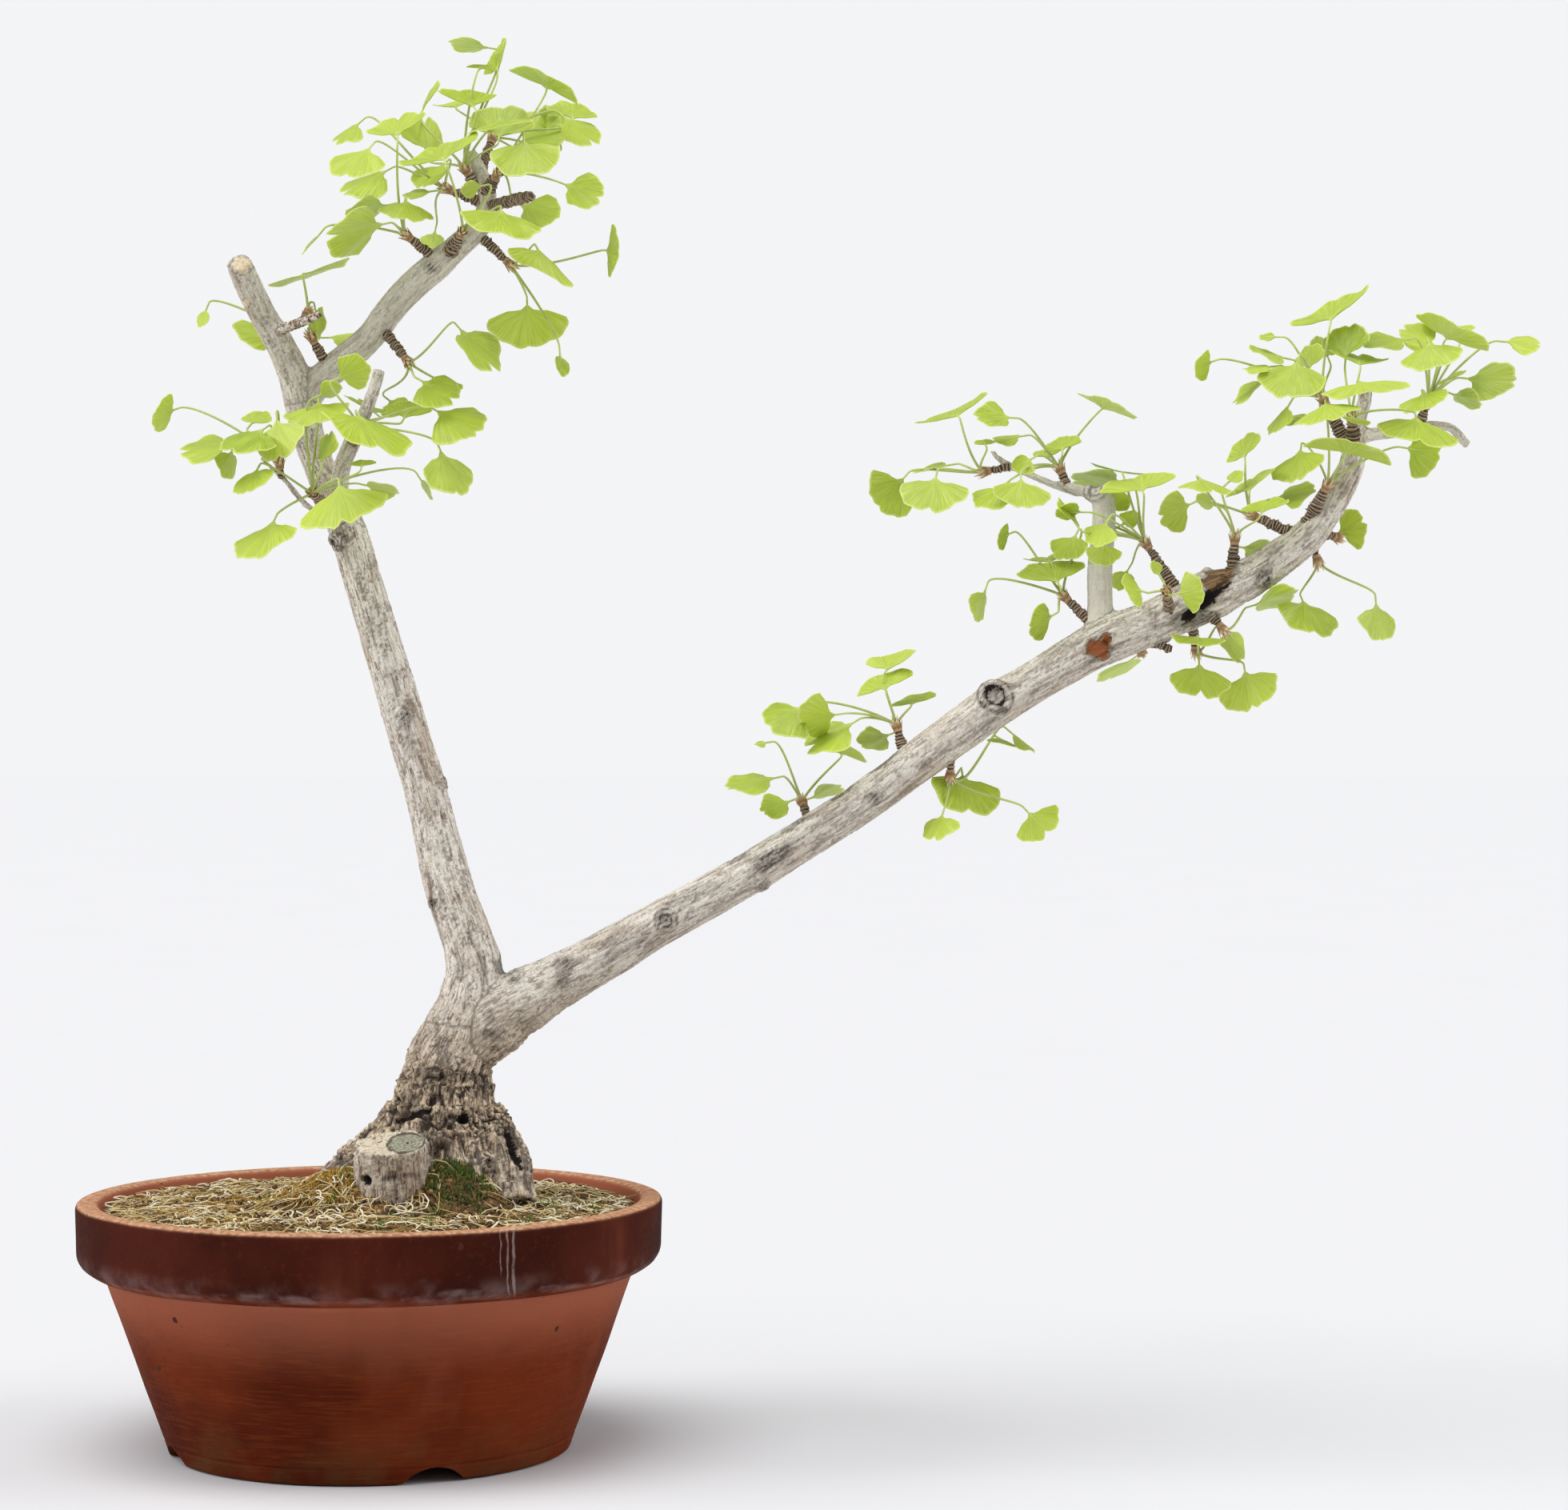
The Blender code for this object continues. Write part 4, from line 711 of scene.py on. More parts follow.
def moss_material():
    """Moss and small shoots: the point value goes from dark green to yellow."""
    paint = Paint("moss_green")
    tone = paint.value("tone")
    colour = paint.wash((36, 52, 16), (104, 128, 36), tone, 0.0, 0.5)
    colour = paint.wash(colour, (216, 158, 44), tone, 0.5, 1.0)
    return paint.finish(paint.wash(colour, (58, 62, 22), paint.noise(500.0, 3.0), 0.35, 0.7, 0.0, 0.5), 0.8)


def bark_material():
    """Pale limed bark with brown cracks along the limb, rough and dark at the base."""
    paint = Paint("bark_limed", "grain")
    rough, dark, crack, even = (paint.value(name) for name in ("rough", "dark", "crack", "even"))
    wide = paint.noise(85.0, 4.0, 0.6, 0.0, (1.0, 1.0, 0.35))
    streak = paint.noise(620.0, 4.0, 0.62, 0.4, (1.0, 1.0, 0.14))
    flake = paint.noise(700.0, 5.0, 0.65, 0.8, (1.0, 1.0, 0.45))
    dash = paint.noise(1150.0, 3.0, 0.6, 0.3, (1.0, 1.0, 0.10))
    plate = paint.noise(230.0, 4.0, 0.6, 1.0, (1.0, 1.0, 0.38))
    lime = paint.wash((190, 174, 152), (250, 243, 233), flake, 0.34, 0.56)
    bare = paint.wash((112, 84, 60), (204, 180, 150), streak, 0.38, 0.62)
    # Brown bare bark shows through the lime where it is worn and on the rough base; it also covers the
    # undersides of limbs as painted shade.
    wear_and_underside_shade = paint.plus(paint.span(wide, 0.46, 0.68, 0.0, 0.55), paint.times(paint.value("under"), 0.35))
    wear_and_underside_shade = paint.plus(wear_and_underside_shade, paint.times(rough, 0.35), clamped=True)
    colour = paint.mix(wear_and_underside_shade, lime, bare)
    line = paint.times(paint.span(streak, 0.45, 0.38, 0.0, 0.75), paint.maths("SUBTRACT", 1.0, even))
    colour = paint.mix(line, colour, (120, 90, 66))
    dashes = paint.times(paint.span(dash, 0.39, 0.32, 0.0, 0.8), paint.span(even, 1.0, 0.4, 0.2, 1.0))
    colour = paint.mix(dashes, colour, (88, 62, 44))
    colour = paint.wash(colour, (252, 247, 240), flake, 0.62, 0.72, 0.0, 0.8)
    lichen = paint.wash((206, 204, 182), (238, 234, 222), wide, 0.35, 0.65)
    colour = paint.mix(paint.times(even, 0.75), colour, lichen)
    colour = paint.mix(paint.times(crack, paint.span(even, 1.0, 0.3, 0.25, 0.75)), colour, (88, 62, 44))
    old = paint.wash((150, 124, 94), (232, 212, 182), flake, 0.38, 0.56)
    old = paint.wash(old, (84, 58, 38), streak, 0.46, 0.38, 0.0, 0.85)
    old = paint.wash(old, (74, 52, 34), plate, 0.47, 0.41)
    old = paint.wash(old, (40, 27, 18), plate, 0.40, 0.34)
    old = paint.wash(old, (30, 20, 13), crack, 0.15, 0.72)
    colour = paint.mix(paint.times(rough, paint.span(wide, 0.66, 0.44, 0.55, 1.0)), colour, old)
    # Dark patches, knot rings and the edges of cuts and wounds; inside holes this dark is painted shade.
    dark_bark_and_hole_shade = paint.wash((40, 30, 24), (98, 80, 66), flake, 0.4, 0.7)
    colour = paint.mix(paint.times(dark, paint.span(flake, 0.66, 0.36, 0.55, 1.0)), colour, dark_bark_and_hole_shade)
    # Near black where the dark value is strongest: painted shade deep in holes, and the dark middles of
    # knots.
    colour = paint.wash(colour, (20, 13, 9), dark, 0.88, 0.99)
    face = paint.wash((214, 190, 150), (240, 226, 198), streak, 0.35, 0.65)
    colour = paint.wash(colour, face, paint.value("cut"), 0.0, 0.9)
    colour = paint.wash(colour, stump_colour(paint, flake, plate), paint.value("weathered"), 0.3, 0.8)
    wound = paint.value("wound")
    raw = paint.wash((142, 76, 40), (188, 116, 72), wide, 0.35, 0.65)
    raw = paint.wash(raw, (96, 48, 24), streak, 0.35, 0.60, 0.35, 0.0)
    torn = paint.wash((84, 60, 36), (166, 134, 98), streak, 0.35, 0.62)
    colour = paint.wash(colour, paint.wash(torn, raw, wound, 0.60, 0.80), wound, 0.05, 0.35)
    paint.bump(streak, 0.5, 0.0011)
    paint.bump(flake, 0.6, 0.0011)
    paint.bump(dash, 0.6, 0.0006)
    return paint.finish(colour, paint.span(flake, 0.3, 0.7, 0.72, 0.92), Specular_IOR_Level=0.3)


def stump_colour(paint, flake, plate):
    """The stump's weathered face: a grey ringed heart in a dark groove, and rough pale bark."""
    from_heart, side = paint.value("face_out"), paint.value("face_side")
    heart = paint.wash((120, 120, 100), (186, 184, 160), flake, 0.36, 0.62)
    year = paint.maths("SINE", paint.times(from_heart, 30.0))
    heart = paint.wash(heart, (92, 88, 68), year, 0.2, 0.9, 0.0, 0.4)
    rim = paint.wash((170, 148, 116), (238, 228, 206), flake, 0.34, 0.60)
    ragged = paint.plus(from_heart, paint.span(plate, 0.3, 0.7, -0.10, 0.10))
    colour = paint.wash(rim, heart, ragged, 1.02, 0.96)
    groove = paint.times(paint.span(ragged, 0.86, 0.97), paint.span(ragged, 1.16, 1.02, 0.0, 0.85))
    colour = paint.mix(groove, colour, (52, 40, 28))
    colour = paint.wash(colour, (70, 56, 40), ragged, 0.10, 0.03)
    pits = paint.times(paint.span(plate, 0.42, 0.34), paint.span(side, 0.0, -0.2))
    return paint.mix(pits, colour, (64, 48, 34))


def spur_material():
    """Ringed spur bark: the point value rises and falls once for each ring."""
    paint = Paint("spur_ringed")
    ring = paint.value("ring")
    flake = paint.noise(700.0, 4.0, 0.6)
    colour = paint.wash((54, 40, 30), (116, 92, 70), flake, 0.35, 0.65)
    colour = paint.wash(colour, (188, 168, 142), ring, 0.55, 0.95, 0.0, 0.9)
    colour = paint.wash(colour, (30, 20, 14), ring, 0.35, 0.0, 0.0, 0.95)
    paint.bump(flake, 0.5, 0.0005)
    return paint.finish(colour, 0.85)


def leaf_material():
    """Fan blade: streaks fan out from the base, with a paler margin and base."""
    paint = Paint("leaf_fan", "fan")
    out = paint.parts()[1]
    veins = paint.noise(1.0, 2.0, 0.7, stretch=(58.0, 1.6, 9.0))
    rays = paint.noise(1.0, 2.0, 0.5, stretch=(16.0, 0.9, 9.0))
    cloud = paint.noise(1.0, 3.0, stretch=(2.5, 2.5, 9.0))
    colour = paint.mix(paint.value("tone"), (140, 160, 40), (202, 218, 96))
    for over, value, low, high, most in (((186, 208, 60), cloud, 0.35, 0.65, 0.45),
                                         ((158, 184, 46), rays, 0.4, 0.65, 0.35),
                                         ((214, 232, 124), veins, 0.50, 0.66, 0.5),
                                         ((130, 156, 32), veins, 0.44, 0.34, 0.35),
                                         ((224, 236, 140), out, 0.93, 1.0, 0.65),
                                         ((206, 222, 112), out, 0.28, 0.05, 0.5)):
        colour = paint.wash(colour, over, value, low, high, 0.0, most)
    paint.bump(veins, 0.22, 0.0003)
    return paint.finish(colour, 0.42, Specular_IOR_Level=0.35, Subsurface_Weight=0.25,
                        Subsurface_Radius=(0.9, 1.0, 0.2), Subsurface_Scale=0.002)


def stalk_material():
    paint = Paint("leaf_stalk")
    colour = paint.wash((184, 194, 112), (204, 220, 126), paint.value("tone"), 0.0, 1.0)
    return paint.finish(paint.wash(colour, (146, 166, 74), paint.noise(160.0, 3.0), 0.4, 0.7, 0.0, 0.4), 0.45)


def bud_material():
    """Bud scales: brown at the foot, cream at the tip."""
    paint = Paint("bud_scale")
    colour = paint.wash((150, 108, 72), (238, 218, 172), paint.value("tone"), 0.15, 0.75)
    colour = paint.wash(colour, (160, 112, 60), paint.noise(600.0, 3.0), 0.45, 0.65, 0.0, 0.5)
    return paint.finish(colour, 0.6)


def floor_material():
    paint = Paint("floor_pale")
    return paint.finish(paint.mix(paint.noise(3.0, 3.0), (224, 224, 226), (227, 227, 229)), 0.9)


# Pot


def wall_radius(height):
    return FOOT_RADIUS + WALL_FLARE * height


def inner_radius(height):
    floor_radius = wall_radius(FLOOR_THICKNESS) - WALL_THICKNESS
    rim_radius = RIM_RADIUS - RIM_THICKNESS
    share = (height - FLOOR_THICKNESS) / (POT_HEIGHT - FLOOR_THICKNESS)
    return floor_radius + (rim_radius - floor_radius) * share


def pot_profile():
    """(radius, height, rounding) of the pot's corners, from the inner floor to the foot."""
    band_edge = POT_HEIGHT - RIM_BAND_HEIGHT
    band_foot = band_edge - RIM_LIP_DROP
    above = FOOT_LINE_HEIGHT + FOOT_LINE_HALF_WIDTH
    below = FOOT_LINE_HEIGHT - FOOT_LINE_HALF_WIDTH
    return [(0.0, FLOOR_THICKNESS, 0.0),
            (inner_radius(FLOOR_THICKNESS), FLOOR_THICKNESS, 0.004),
            (inner_radius(POT_HEIGHT), POT_HEIGHT, 0.0035),
            (RIM_RADIUS, POT_HEIGHT, 0.0035),
            (RIM_RADIUS - 0.0005, band_edge, 0.0045),
            (RIM_RADIUS - 0.0065, band_foot + 0.0030, 0.0050),
            (wall_radius(band_foot) + 0.0010, band_foot, 0.0025),
            (wall_radius(above), above, 0.0003),
            (wall_radius(FOOT_LINE_HEIGHT) - FOOT_LINE_DEPTH, FOOT_LINE_HEIGHT, 0.0002),
            (wall_radius(below), below, 0.0003),
            (FOOT_RADIUS, 0.0, FOOT_CHAMFER),
            (0.0, 0.0, 0.0)]


def rounded(corners):
    """A profile with each corner turned into a short arc, and its long sides cut up."""
    points = []
    for index, (radius, height, rounding) in enumerate(corners):
        place = Vector((radius, height))
        if not rounding:
            points.append(place)
            continue
        before = (Vector(corners[index - 1][:2]) - place).normalized() * rounding
        after = (Vector(corners[index + 1][:2]) - place).normalized() * rounding
        for step in range(CORNER_STEPS + 1):
            t = step / CORNER_STEPS
            points.append(place + before * (1 - t) ** 2 + after * t ** 2)
    whole = [points[0]]
    for point in points[1:]:
        pieces = max(1, math.ceil((point - whole[-1]).length / LONGEST_PROFILE_STEP))
        start = whole[-1]
        whole.extend(start.lerp(point, step / pieces) for step in range(1, pieces + 1))
    return whole


def turned(profile, steps):
    """Points and faces of a solid turned round the Z axis, from a profile that ends on the axis.

    A height in the profile is a number, or a function of x and y.
    """
    def level(height, x, y):
        return height(x, y) if callable(height) else height

    points = []
    for radius, height in profile[1:-1]:
        for step in range(steps):
            angle = step / steps * math.tau
            x, y = radius * math.cos(angle), radius * math.sin(angle)
            points.append(Vector((x, y, level(height, x, y))))
    points += [Vector((0, 0, level(profile[end][1], 0, 0))) for end in (0, -1)]
    rows = len(profile) - 2
    faces = grid_faces(rows, steps, closed=True, turned_over=True)
    for step in range(steps):
        after = (step + 1) % steps
        faces.append((rows * steps, step, after))
        faces.append((rows * steps + 1, (rows - 1) * steps + after, (rows - 1) * steps + step))
    return points, faces


def cut_drains(pot):
    """Cut the arched grooves and the drain holes."""
    cutters = bpy.data.collections.new("drain_cutters")
    bpy.context.scene.collection.children.link(cutters)
    rise = GROOVE_HEIGHT
    radius = ((GROOVE_WIDTH / 2) ** 2 + rise ** 2) / (2 * rise)
    outer_end = FOOT_RADIUS + 0.010
    for index in range(GROOVE_COUNT):
        angle = FIRST_GROOVE_ANGLE + index * math.tau / GROOVE_COUNT
        out = Vector((math.sin(angle), -math.cos(angle), 0.0))
        bpy.ops.mesh.primitive_cylinder_add(vertices=96, radius=radius,
                                            depth=outer_end - GROOVE_INNER_END,
                                            rotation=(math.pi / 2, 0.0, angle))
        groove = bpy.context.object
        groove.location = out * (outer_end + GROOVE_INNER_END) / 2
        groove.location.z = rise - radius
        bpy.ops.mesh.primitive_cylinder_add(vertices=32, radius=DRAIN_HOLE_DIAMETER / 2,
                                            depth=3 * FLOOR_THICKNESS, location=out * DRAIN_HOLE_CIRCLE)
        for cutter in (groove, bpy.context.object):
            for owner in cutter.users_collection:
                owner.objects.unlink(cutter)
            cutters.objects.link(cutter)
    bpy.context.view_layer.update()
    change = pot.modifiers.new("drains", "BOOLEAN")
    change.operation = "DIFFERENCE"
    change.operand_type = "COLLECTION"
    change.collection = cutters
    change.solver = "MANIFOLD"
    take_modifiers(pot)
    for cutter in list(cutters.objects):
        bpy.data.objects.remove(cutter, do_unlink=True)
    bpy.data.collections.remove(cutters)


def take_modifiers(thing):
    """Turn what the modifiers make into the object's own mesh."""
    view = bpy.context.evaluated_depsgraph_get()
    mesh = bpy.data.meshes.new_from_object(thing.evaluated_get(view))
    thing.modifiers.clear()
    thing.data = mesh


def build_pot():
    """The pot, a little out of true as a thrown one is, but flat under its foot."""
    points, faces = turned(rounded(pot_profile()), POT_STEPS)
    for point in points[:-2]:
        if point.z > 0.001:
            out = Vector((point.x, point.y, 0.0)).normalized()
            point += out * (THROWN_WAVER * noise.fractal(point * 16.0, 0.8, 2.0, 3))
    skin = Skin()
    skin.add(points, faces)
    pot = skin.piece("pot_turned", [])
    cut_drains(pot)
    finish_skin(pot, clay_material())
    pot.data.set_sharp_from_angle(angle=math.radians(POT_SHARP_ANGLE))
    ride_for(pot, "clay", "pot")


def finish_skin(piece, material):
    """One material and smooth shading all over."""
    piece.data.materials.clear()
    piece.data.materials.append(material)
    piece.data.polygons.foreach_set("use_smooth", [True] * len(piece.data.polygons))


def ride_for(piece, slot_name, *nodes):
    """Fix a piece to the one body and hide the CAD nodes it stands for. The slot name is not used."""
    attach(piece, "root")
    if nodes:
        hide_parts(*nodes)


# Soil, litter and moss


def soil_height(x, y):
    """Height of the soil's top, with its tilt, its piles and its lumps."""
    away = math.hypot(x, y)
    level = float(np.interp(away, SOIL_RINGS, SOIL_HEIGHTS)) - SOIL_TILT * y
    for px, py, reach, rise in SOIL_PILES:
        level += rise * smooth(1.0 - math.hypot(x - px, y - py) / reach)
    level += SOIL_LUMP * noise.fractal(Vector((x * 45.0, y * 45.0, 0.0)), 0.8, 2.0, 3)
    return level + SOIL_GRAIN * noise.noise(Vector((x * 420.0, y * 420.0, 5.0)))


def on_soil(x, y, lift=0.0):
    return Vector((x, y, soil_height(x, y) + lift))


def build_soil():
    """The soil's lumpy top, its side just clear of the pot's wall, and its floor."""
    edge = inner_radius(SOIL_EDGE_HEIGHT) - SOIL_EDGE_GAP
    profile = [(edge * ring / SOIL_RING_COUNT, soil_height) for ring in range(SOIL_RING_COUNT + 1)]
    floor = FLOOR_THICKNESS + GAP
    for height, inset in ((0.10, 0.0), (floor + 0.003, 0.0), (floor, 0.004)):
        profile.append((inner_radius(height) - SOIL_WALL_GAP - inset, height))
    profile.append((0.0, floor))
    skin = Skin()
    skin.add(*turned(profile, SOIL_STEPS))
    ride_for(skin.piece("soil_top", [soil_material()]), "soil", "soil")


def scatter_place(rng, reach):
    """A random place within a reach of the middle, evenly over the disc."""
    away = reach * math.sqrt(rng.random())
    angle = rng.uniform(0, math.tau)
    return away * math.cos(angle), away * math.sin(angle)


def strand(rng, x, y, length, curl, lift, steps):
    """A line that wanders over the soil from a place, and dips into it at its ends."""
    heading = rng.uniform(0, math.tau)
    bend = rng.uniform(-curl, curl)
    line = []
    for step in range(steps + 1):
        if math.hypot(x, y) > LITTER_REACH:
            heading = math.atan2(-y, -x) + rng.uniform(-0.5, 0.5)
        z = soil_height(x, y) + lift * math.sin(math.pi * step / steps) - 0.0003
        line.append(Vector((x, y, z + rng.uniform(-0.0003, 0.0005))))
        heading += bend / steps + rng.uniform(-curl, curl) * 0.35 / math.sqrt(steps)
        x += math.cos(heading) * length / steps
        y += math.sin(heading) * length / steps
    return line


def is_bare(x, y, tone):
    """Whether a strand of a tone stays away from a place: a bare patch, or the moss cushion."""
    patchy = tone > DRY_MOSS_TONE and noise.noise(Vector((x * 28.0, y * 28.0, 3.0))) < -0.12
    return patchy or math.hypot(x - CUSHION[0], y - CUSHION[1]) < CUSHION[2]


def build_litter():
    """Dry moss strands, straw and needles on the soil, and crumbs between them."""
    rng = random.Random("litter")
    skin = Skin("tone")
    many = 1.0
    for count, short, long, radius, curl, lift, steps, low, high in STRANDS:
        for _ in range(int(count * many)):
            x, y = scatter_place(rng, LITTER_REACH)
            if is_bare(x, y, low):
                continue
            length, lifted = rng.uniform(short, long), rng.uniform(0.2, 1.0) * lift
            line = strand(rng, x, y, length, curl, lifted, steps)
            middle = len(line) / 2
            radii = [radius * (1.15 - 0.7 * abs(index - middle) / middle)
                     for index in range(len(line))]
            skin.add(*tube_points(line, radii, 3), tone=rng.uniform(low, high))
    for _ in range(int(CRUMBS * many)):
        add_crumb(skin, rng, *scatter_place(rng, LITTER_REACH + 0.001))
    ride_for(skin.piece("soil_litter", [litter_material()]), "soil")


def add_crumb(skin, rng, x, y):
    """One rough crumb, half sunk in the soil."""
    radius = rng.uniform(*CRUMB_RADII)
    bm = bmesh.new()
    bmesh.ops.create_icosphere(bm, subdivisions=1, radius=radius)
    middle = on_soil(x, y, radius * 0.2)
    points = [middle + vert.co * rng.uniform(0.75, 1.2) for vert in bm.verts]
    faces = [tuple(vert.index for vert in face.verts) for face in bm.faces]
    bm.free()
    skin.add(points, faces, tone=rng.uniform(0.0, 0.42))


def moss_blade(skin, rng, place, height, lean, tone):
    """A pointed three-sided blade."""
    angle = rng.uniform(0, math.tau)
    away = Vector((math.cos(angle), math.sin(angle), 0.0))
    line = [place, place + Vector((0, 0, height * 0.55)) + away * lean * 0.3,
            place + Vector((0, 0, height)) + away * lean]
    skin.add(*tube_points(line, [0.00035, 0.00028, 0.00006], 3), tone=tone)


def build_moss():
    """Cushions of moss at the foot of the trunk and by the stump, and small shoots."""
    rng = random.Random("moss")
    skin = Skin("tone")
    many = 1.0
    for bx, by, reach, count, low, high in MOSS_BEDS:
        for _ in range(int(count * many)):
            dx, dy = scatter_place(rng, reach)
            if rng.random() < math.hypot(dx, dy) / reach * 0.7:
                continue
            place = on_soil(bx + dx, by + dy, -0.0004)
            height, lean = rng.uniform(0.0012, 0.0036), rng.uniform(0, 0.0012)
            moss_blade(skin, rng, place, height, lean, rng.uniform(low, high))
    for across, down in SPROUTS:
        spot = seen_at_height(across, down, SPROUT_HEIGHT)
        for _ in range(SPROUT_BLADES):
            place = on_soil(spot.x + rng.uniform(-0.004, 0.004), spot.y + rng.uniform(-0.004, 0.004))
            height, lean = rng.uniform(0.003, 0.007), rng.uniform(0.001, 0.004)
            moss_blade(skin, rng, place, height, lean, rng.uniform(0.42, 0.6))
    ride_for(skin.piece("soil_moss", [moss_material()]), "soil")


# Wood


def smooth_limb(marks, spacing):
    """Places and radii along a limb: a soft curve through its marks, evenly stepped."""
    places = [seen(*mark[:3]) for mark in marks]
    radii = [seen_size(mark[3], mark[2]) for mark in marks]
    places = [places[0] * 2 - places[1]] + places + [places[-1] * 2 - places[-2]]
    line, widths = [], []
    for index in range(1, len(places) - 2):
        a, b, c, d = places[index - 1:index + 3]
        steps = max(1, round((c - b).length / spacing))
        for step in range(steps):
            t = step / steps
            line.append(0.5 * (b * 2 + (c - a) * t + (a * 2 - b * 5 + c * 4 - d) * t ** 2
                               + (b * 3 - a - c * 3 + d) * t ** 3))
            share = smooth(t)
            widths.append(radii[index - 1] * (1 - share) + radii[index] * share)
    line.append(places[-2])
    widths.append(radii[-1])
    return line, widths


def limb_frames():
    """For every limb: its line, widths, lengths along it and carried frames."""
    limbs = {}
    for name, marks in LIMBS.items():
        line, widths = smooth_limb(marks, LIMB_SPACING)
        along = [0.0]
        for first, second in zip(line, line[1:]):
            along.append(along[-1] + (second - first).length)
        limbs[name] = (line, widths, along, carried_frames(line, Vector((1.0, 0.05, 0.02))))
    return limbs


def nearest_limbs(points, limbs):
    """For the two limbs that each point is deepest in, the deepest first: a row of its share of
    the limb's radius, its place in the limb's frame (three numbers), that radius and evenness."""
    found = np.empty((len(limbs), len(points), 6))
    for number, (name, (line, widths, along, frames)) in enumerate(limbs.items()):
        centres, radii, stretch = (np.array(rows) for rows in (line, widths, along))
        rights, ups = (np.array([frame[side] for frame in frames]) for side in (0, 1))
        for start in range(0, len(points), BLOCK):
            part = points[start:start + BLOCK]
            away = np.linalg.norm(part[:, None, :] - centres[None], axis=2) / radii[None]
            index = away.argmin(1)
            out = part - centres[index]
            ahead = np.cross(rights[index], ups[index])
            run = stretch[index] - (out * ahead).sum(1) + 0.7 * number
            found[number, start:start + BLOCK, :5] = np.column_stack(
                (away.min(1), (out * rights[index]).sum(1), (out * ups[index]).sum(1), run,
                 radii[index]))
        found[number, :, 5] = EVEN_BARK.get(name, 0.0)
    order = np.argsort(found[:, :, 0], axis=0)[:2]
    return found[order, np.arange(len(points))]


def bark_relief(limb_row, rough):
    """(height in metres, crack 0 to 1) of the bark at a place on a limb."""
    x, y, s, size, even = limb_row[1:]
    fissure = abs(noise.noise(Vector((x * 300.0, y * 300.0, s * 55.0))))
    crack = max(0.0, 1.0 - fissure * 7.0)
    flake = noise.noise(Vector((x * 620.0, y * 620.0, s * 260.0)))
    lump = noise.noise(Vector((x * 90.0, y * 90.0, s * 45.0)))
    crack *= 1.0 - 0.7 * even
    height = FLAKE_LIFT * (1.0 - 0.6 * even) * flake - CRACK_DEPTH * crack + LUMP_SHARE * size * lump
    if rough > 0.01:
        block = noise.fractal(Vector((x * 75.0, y * 75.0, s * 62.0)), 0.7, 2.1, 4)
        gap = abs(noise.noise(Vector((x * 150.0 + 9.0, y * 150.0, s * 84.0))))
        deep = max(0.0, 1.0 - gap * 4.6)
        height += rough * (PLATE_LIFT * block - GAP_DEPTH * deep)
        crack = max(crack * (1 - 0.4 * rough), deep * rough)
    return height, crack


def blended_relief(first, second, rough):
    """(height, crack, evenness) of the bark where two limbs meet, or on one limb alone."""
    height, crack = bark_relief(first, rough)
    share = smooth((second[0] - first[0]) / 0.25)
    if share == 1.0:
        return height, crack, first[5]
    other, other_crack = bark_relief(second, rough)
    weight = 0.5 + 0.5 * share
    return (height * weight + other * (1 - weight), crack * weight + other_crack * (1 - weight),
            first[5] * weight + second[5] * (1 - weight))


def base_roughness(height):
    """How rough and dark the bark is at a height: most in a band above the trunk's foot."""
    band = smooth((0.206 - height) / 0.020) * smooth((height - 0.142) / 0.030)
    return 0.58 * smooth((0.250 - height) / 0.060) + 0.42 * band


def bell(distance, width):
    return math.exp(-(distance / width) ** 2)


def front_spot(points, across, down):
    """Index of the frontmost point that shows close to a place on the front view."""
    scale = VIEW_FOCAL / (points[:, 1] - EYE.y)
    shown_x = VIEW_CENTRE[0] + (points[:, 0] - EYE.x) * scale
    shown_z = VIEW_CENTRE[1] - (points[:, 2] - EYE.z) * scale
    away = np.hypot(shown_x - across, shown_z - down)
    near = np.where(away < SPOT_REACH)[0]
    if len(near) == 0:
        return int(away.argmin())
    return int(near[points[near, 1].argmin()])


def feature_shift(kind, away, size, strength):
    """How far, in metres, a feature lifts the surface at a share of its size from its middle."""
    if kind == "knot":
        return size * strength * (0.42 * bell(away - 0.85, 0.38) - 0.16 * bell(away, 0.35))
    if kind == "hole":
        return size * (0.12 * bell(away - 1.25, 0.2) - strength * 0.9 * smooth(1.35 - away))
    if kind == "wound":
        return 0.0010 * bell(away - 1.15, 0.14) - 0.0014 * smooth((1.1 - away) * 5)
    if kind == "dark":
        return -0.0007 * strength * smooth(1.3 - away)
    return 0.0


def feature_marks(kind, away, strength, jitter):
    """(dark, cut, wound) that a feature paints at a share of its size from its middle."""
    edge = away + jitter
    if kind == "knot":
        rings = 0.5 + 0.5 * math.cos(away * 11.0)
        return strength * smooth((1.35 - away) * 2.5) * (0.10 + 0.95 * rings), 0.0, 0.0
    # Inside a hole the dark value is painted shade.
    if kind == "hole":
        return 1.6 * smooth((1.25 - edge) * 4), 0.0, 0.0
    if kind == "wound":
        return 0.9 * bell(edge - 1.02, 0.13), 0.0, strength * smooth((1.0 - edge) * 8)
    if kind == "dark":
        return 0.85 * strength * smooth((1.25 - edge) * 2.2), 0.0, 0.0
    return 0.8 * bell(edge - 0.98, 0.10), strength * smooth((0.94 - edge) * 9), 0.0


def apply_features(points, normals):
    """Move the bark's points for knots, hollows and cuts, and return what they paint."""
    marks = np.zeros((len(points), 3))
    moved = points.copy()
    for kind, rows in FEATURES.items():
        for across, down, *shape in rows:
            apply_feature(points, normals, moved, marks, kind, across, down, shape)
    return moved, np.clip(marks, 0.0, 1.0)


